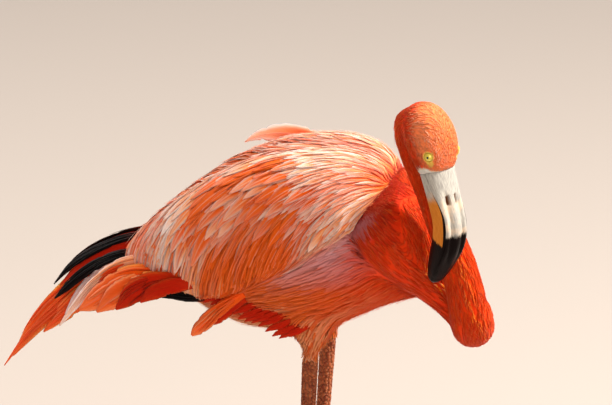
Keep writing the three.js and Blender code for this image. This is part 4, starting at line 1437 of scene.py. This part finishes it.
# The dark red mask carries painted shade as well as real deep red, and the mauve mask is a painted
# reflection of the sky.
MASKS = ("scarlet", "pale", "dark", "ink", "amber", "cool", "lane", "lane_spread")
MARKS = {  # how much of each mask a kind of feather carries
    BLACK: (0, 0, 0, 1, 0, 0, 0.3, 0.55),
    ORANGE: (0.85, 0.1, 0.15, 0, 0.1, 0, 0.3, 0.55),
    DEEP: (1, 0, 1, 0, 0, 0, 0.3, 0.55),
    MAUVE: (0, 0.8, 0, 0, 0, 0.6, 0.1, 0),
    AMBER: (0.55, 0.2, 0, 0, 0.5, 0, 0.3, 0.55),
    PALE: (0, 1, 0, 0, 0, 0.15, 0, 0),
}
LONG_FEATHERS = [
    (BLACK, 40, [(9, -165, 690, 3), (12, -225, 669, 5), (13, -262, 646, 5.5),
        (13, -280, 629, 4.5), (13, -292, 613, 1)]),
    (DEEP, 38, [(12, -170, 682, 5), (15, -230, 660, 8), (17, -262, 638, 7), (18, -284, 614, 1)]),
    (BLACK, 30, [(22, -165, 672, 4), (25, -225, 655, 6), (26, -258, 632, 6.5), (26, -274, 616, 5),
        (26, -287, 602, 1)]),
    (MAUVE, 24, [(30, -165, 660, 6), (32, -215, 645, 11), (32, -245, 622, 12), (32, -262, 603, 8),
        (32, -273, 588, 1)]),
    (ORANGE, 20, [(17, -170, 655, 9), (18, -245, 630, 14), (19, -285, 597, 14),
        (20, -318, 558, 9), (20, -338, 527, 1)]),
    (ORANGE, 26, [(21, -180, 650, 6), (22, -250, 622, 8), (23, -295, 580, 6), (23, -325, 548, 4),
        (22, -348, 515, 0.8)]),
    (ORANGE, 12, [(24, -190, 648, 8), (26, -245, 618, 11), (27, -280, 584, 9), (27, -300, 562, 1)]),
    (PALE, 15, [(36, -160, 668, 6), (40, -208, 654, 7.5), (41, -238, 629, 6.5),
        (41, -260, 601, 4.5), (40, -277, 577, 1)]),
    (ORANGE, 18, [(38, -165, 662, 8), (42, -215, 645, 11), (43, -240, 618, 9), (43, -256, 596, 1)]),
    (AMBER, 15, [(50, -150, 655, 10), (52, -192, 645, 15), (53, -220, 626, 14),
        (53, -238, 612, 9), (52, -250, 603, 1.5)]),
    (AMBER, 10, [(54, -140, 650, 10), (57, -180, 640, 15), (58, -208, 624, 13), (58, -228, 606, 1.5)]),
    (DEEP, 5, [(62, -135, 655, 9), (64, -170, 645, 13), (64, -188, 632, 11), (63, -197, 622, 7),
        (62, -205, 613, 1)]),
    (DEEP, 0, [(64, -115, 656, 7), (67, -148, 646, 9), (67, -166, 636, 7), (66, -176, 626, 1)]),
    (BLACK, 0, [(48, -80, 640, 5), (53, -125, 633, 5.5), (54, -165, 634, 5.5), (52, -186, 629, 4),
        (51, -197, 625, 1)]),
    (AMBER, 0, [(66, -62, 650, 5), (67, -90, 627, 7.5), (65, -106, 610, 8), (62, -116, 599, 5.5),
        (61, -121, 593, 1.5)]),
    (DEEP, 0, [(63, -62, 644, 6), (65, -82, 628, 8), (64, -93, 616, 6), (62, -100, 608, 1)]),
]
for i in range(13):  # the short red feathers under the flank's edge
    f, z = -106 + 7.6 * i, 641 - 2.9 * i + 2 * math.sin(5 * i)
    stations = [(57, f + 22, z + 12, 3), (61, f + 8, z + 5, 4), (60, f - 3, z, 3)]
    LONG_FEATHERS.append((DEEP, 0, stations + [(59, f - 10, z - 5, 0.5)]))
for i in range(5):  # half of the tail fan
    out = 3 + 5.5 * i
    stations = [(out * 0.6, -180, 660, 7), (out, -215, 642, 9), (out * 1.1, -245, 616, 8)]
    LONG_FEATHERS.append((ORANGE, 82, stations + [(out, -262 + 2 * i, 602 + i, 1)]))
kinds = [kind for kind, _, _ in LONG_FEATHERS]
print("long feathers on each side:", {kind: kinds.count(kind) for kind in MARKS})

# %% Building the long feathers
BLADE_ROWS, BLADE_COLUMNS = 34, 9
LOCK_ROWS, LOCK_COLUMNS = 16, 3
LOCKS = 7  # slender bundles of barbs laid over each plume
RIB_HEIGHT, HALF_THICKNESS = 0.55 * MM, 0.16 * MM
SPLIT_DEPTH, SPLIT_REACH = 0.2, 0.03  # as shares of the width and of the length


def blade(side, lean, stations, seed, rows=BLADE_ROWS, columns=BLADE_COLUMNS, lock=None):
    """A closed thin vane with a rib and a split edge, as a grid of rings. With a lock, only a
    slender bundle of barbs on the outer face: its shift across, width, start and end."""
    draw = np.random.default_rng(seed)
    table = np.array(stations, float)
    table[:, 0] *= side
    keys = np.concatenate([[0], np.cumsum(np.linalg.norm(np.diff(table[:, :3], axis=0), axis=1))])
    share = np.linspace(0, 1, rows)
    if lock:
        shift, size, start, end = lock
        share = start + (end - start) * share
    run = glide(keys / keys[-1], table, share)
    middle, half_width = to_scene(run[:, :3]), np.maximum(run[:, 3], 0.4) * MM
    along = unit(np.gradient(middle, axis=0))
    tilt = math.radians(lean)
    breadth = np.array([-side * math.sin(tilt), 0, math.cos(tilt)])
    breadth = unit(breadth - along * (along @ breadth)[:, None])
    face = np.cross(along, breadth) * side
    if lock:
        t = np.linspace(0, 1, rows)
        middle = middle + breadth * (shift * half_width * (0.75 + 0.45 * t))[:, None]
        middle = middle + face * (0.35 + 0.8 * t[:, None]) * MM
        half_width = half_width * size * np.sqrt(np.clip(1 - t**3, 0.002, 1)) * smooth(-0.2, 0.2, t)
    across = np.linspace(-1, 1, columns)
    split = draw.normal(0, 0.018, (rows, 2)) * smooth(0.1, 0.5, share)[:, None]
    for edge in (0, 1):
        for at in draw.uniform(0.35, 0.9, 2):
            split[:, edge] -= SPLIT_DEPTH * np.clip(1 - np.abs(share - at) / SPLIT_REACH, 0, 1)
    reach = np.where(across[None, :] < 0, 1 + split[:, :1], 1 + split[:, 1:])
    out = across[None, :] * half_width[:, None] * (1 + (reach - 1) * np.abs(across)[None, :] ** 2)
    dip = 0.08 * half_width[:, None] * (np.abs(across)[None, :] ** 1.5)
    rib = (0 if lock else RIB_HEIGHT) * np.exp(-((across / 0.14) ** 2))[None, :]
    rib = rib * (1.05 - share[:, None])
    thick = HALF_THICKNESS * (1 - across**2)[None, :]
    sheet = middle[:, None] + breadth[:, None] * out[..., None]
    top = sheet + face[:, None] * (rib + thick - dip)[..., None]
    under = sheet + face[:, None] * (-thick - dip)[..., None]
    grid = np.concatenate([top, under[:, -2:0:-1]], 1)
    both = np.concatenate([across, across[-2:0:-1]])
    shape = grid.shape[:2]
    return grid, np.broadcast_to(both, shape), np.broadcast_to(share[:, None], shape)


def with_locks(side, feather, number, draw):
    """The blade of one feather and of the locks over it, each with its tone."""
    kind, lean, stations = feather
    blades = [(blade(side, lean, stations, 40 + number), 0.5)]
    for n in range(0 if len(stations) == 4 and kind == DEEP else LOCKS):
        start, width = draw.uniform(0.02, 0.45), draw.uniform(0.12, 0.26)
        shift = -0.75 + 1.5 * (n + draw.uniform(0.2, 0.8)) / LOCKS
        lock = (shift, width, start, start + draw.uniform(0.4, 0.58))
        made = blade(side, lean, stations, 90 + n, LOCK_ROWS, LOCK_COLUMNS, lock)
        blades.append((made, draw.random()))
    return blades


# One pale feather stands up on the bird's far wing.
RUFFLED = (PALE, 0, [(60, 10, 768, 6), (62, -30, 783, 11), (61, -65, 784, 10),
    (59, -92, 776, 3), (58, -99, 771, 0.6)])


def long_feathers(name, side, kinds, replaced):
    """One piece out of all long feathers of some kinds on one side, with a strip of unwrap each."""
    draw = np.random.default_rng(77)
    blades = []
    for i, feather in enumerate(LONG_FEATHERS + ([RUFFLED] if side > 0 else [])):
        if feather[0] in kinds:
            blades += [(feather[0], *made) for made in with_locks(side, feather, i, draw)]
    grids, unwrap = [], []
    knows = {key: [] for key in ("across", "along", "tone", *MASKS[:-1])}
    for order, (kind, (grid, across, share), tone) in enumerate(blades):
        grids.append(grid)
        marks = dict(zip(MASKS, MARKS[kind]))
        marks["lane"] += marks.pop("lane_spread") * tone
        for key, value in {"across": across, "along": share, "tone": tone, **marks}.items():
            knows[key].append(np.broadcast_to(value, grid.shape[:2]))
        column = (order + 0.08 + 0.84 * (np.arange(grid.shape[1]) + 0.5) / grid.shape[1])[None, :]
        cell = np.broadcast_arrays(column / len(blades), 0.02 + 0.96 * share)
        unwrap.append(np.stack(cell, -1))
    piece = solid(name, grids, plume_finish, knows, unwrap)
    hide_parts(*replaced)


for name, side in SIDES.items():
    plumes = [f"plume_{n}_{name}" for n in ("long", "middle", "broad", "short", "flank")]
    coloured = (ORANGE, DEEP, MAUVE, AMBER, PALE)
    long_feathers(f"long_plumes_{name}", side, coloured, plumes + (["tail"] if name == "right" else []))
    flight = [f"primary_{n}_{name}" for n in ("upper", "lower", "under")]
    long_feathers(f"flight_feathers_{name}", side, (BLACK,), flight)

# %% [markdown]
# ## Claws
# Each front toe ends in a short blunt claw, a little hooked. The plain claw solid tells where it
# starts and ends; the finer one is swept along that line with a soft ridge on top.

# %% Claw finish and shape
CLAW_ROWS, CLAW_AROUND = 14, 20
CLAW_WIDE, CLAW_RISE, CLAW_SINK = 2.5, 2.7, 2.1  # mm from the middle line at the root
claw_horn = bill_finish("claw_horn", 0.0, 0.35)
for side in SIDES:
    grids, shares = [], []
    for i in (1, 2, 3):
        corners = np.array([v.co for v in NODES[f"claw_{side}_{i}"].data.vertices])
        ahead = unit((corners.mean(0) - ANKLES[side]) * [1, 1, 0])
        reach = corners @ ahead
        start = corners[reach < reach.min() + 0.1 * MM].mean(0)
        end = corners[reach > reach.max() - 0.1 * MM].mean(0)
        share = np.linspace(0, 1, CLAW_ROWS)[:, None]
        middle = start + (end - start) * share
        middle[:, 2] = start[2] + (end[2] - start[2]) * share[:, 0] ** 2 + 0.3 * MM
        turn = full_turn(CLAW_AROUND)
        size = (1 - share**2.2) ** 0.6 + 0.12
        beside = np.cross(ahead, UP)
        across = np.cos(turn) * size * CLAW_WIDE * MM
        rise = np.sin(turn) * size * np.where(np.sin(turn) > 0, CLAW_RISE, CLAW_SINK) * MM
        grid = middle[:, None] + beside * across[..., None] + UP * rise[..., None]
        grid[..., 2] = np.maximum(grid[..., 2], 0.1 * MM)  # nothing below the floor
        grids.append(grid)
        shares.append(np.broadcast_to(0.3 + 0.5 * share, across.shape))
    claws = solid(f"claws_{side}", grids, claw_horn, {"share": shares})
    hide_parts(*[f"claw_{side}_{i}" for i in (1, 2, 3)])

# %% [markdown]
# ## Last things
# The feather patterns are tools and leave the scene.

# %% Finish
for tool in (long_feather, body_feather, short_feather, tiny_feather, plate):
    bpy.data.objects.remove(tool)
low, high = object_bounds()
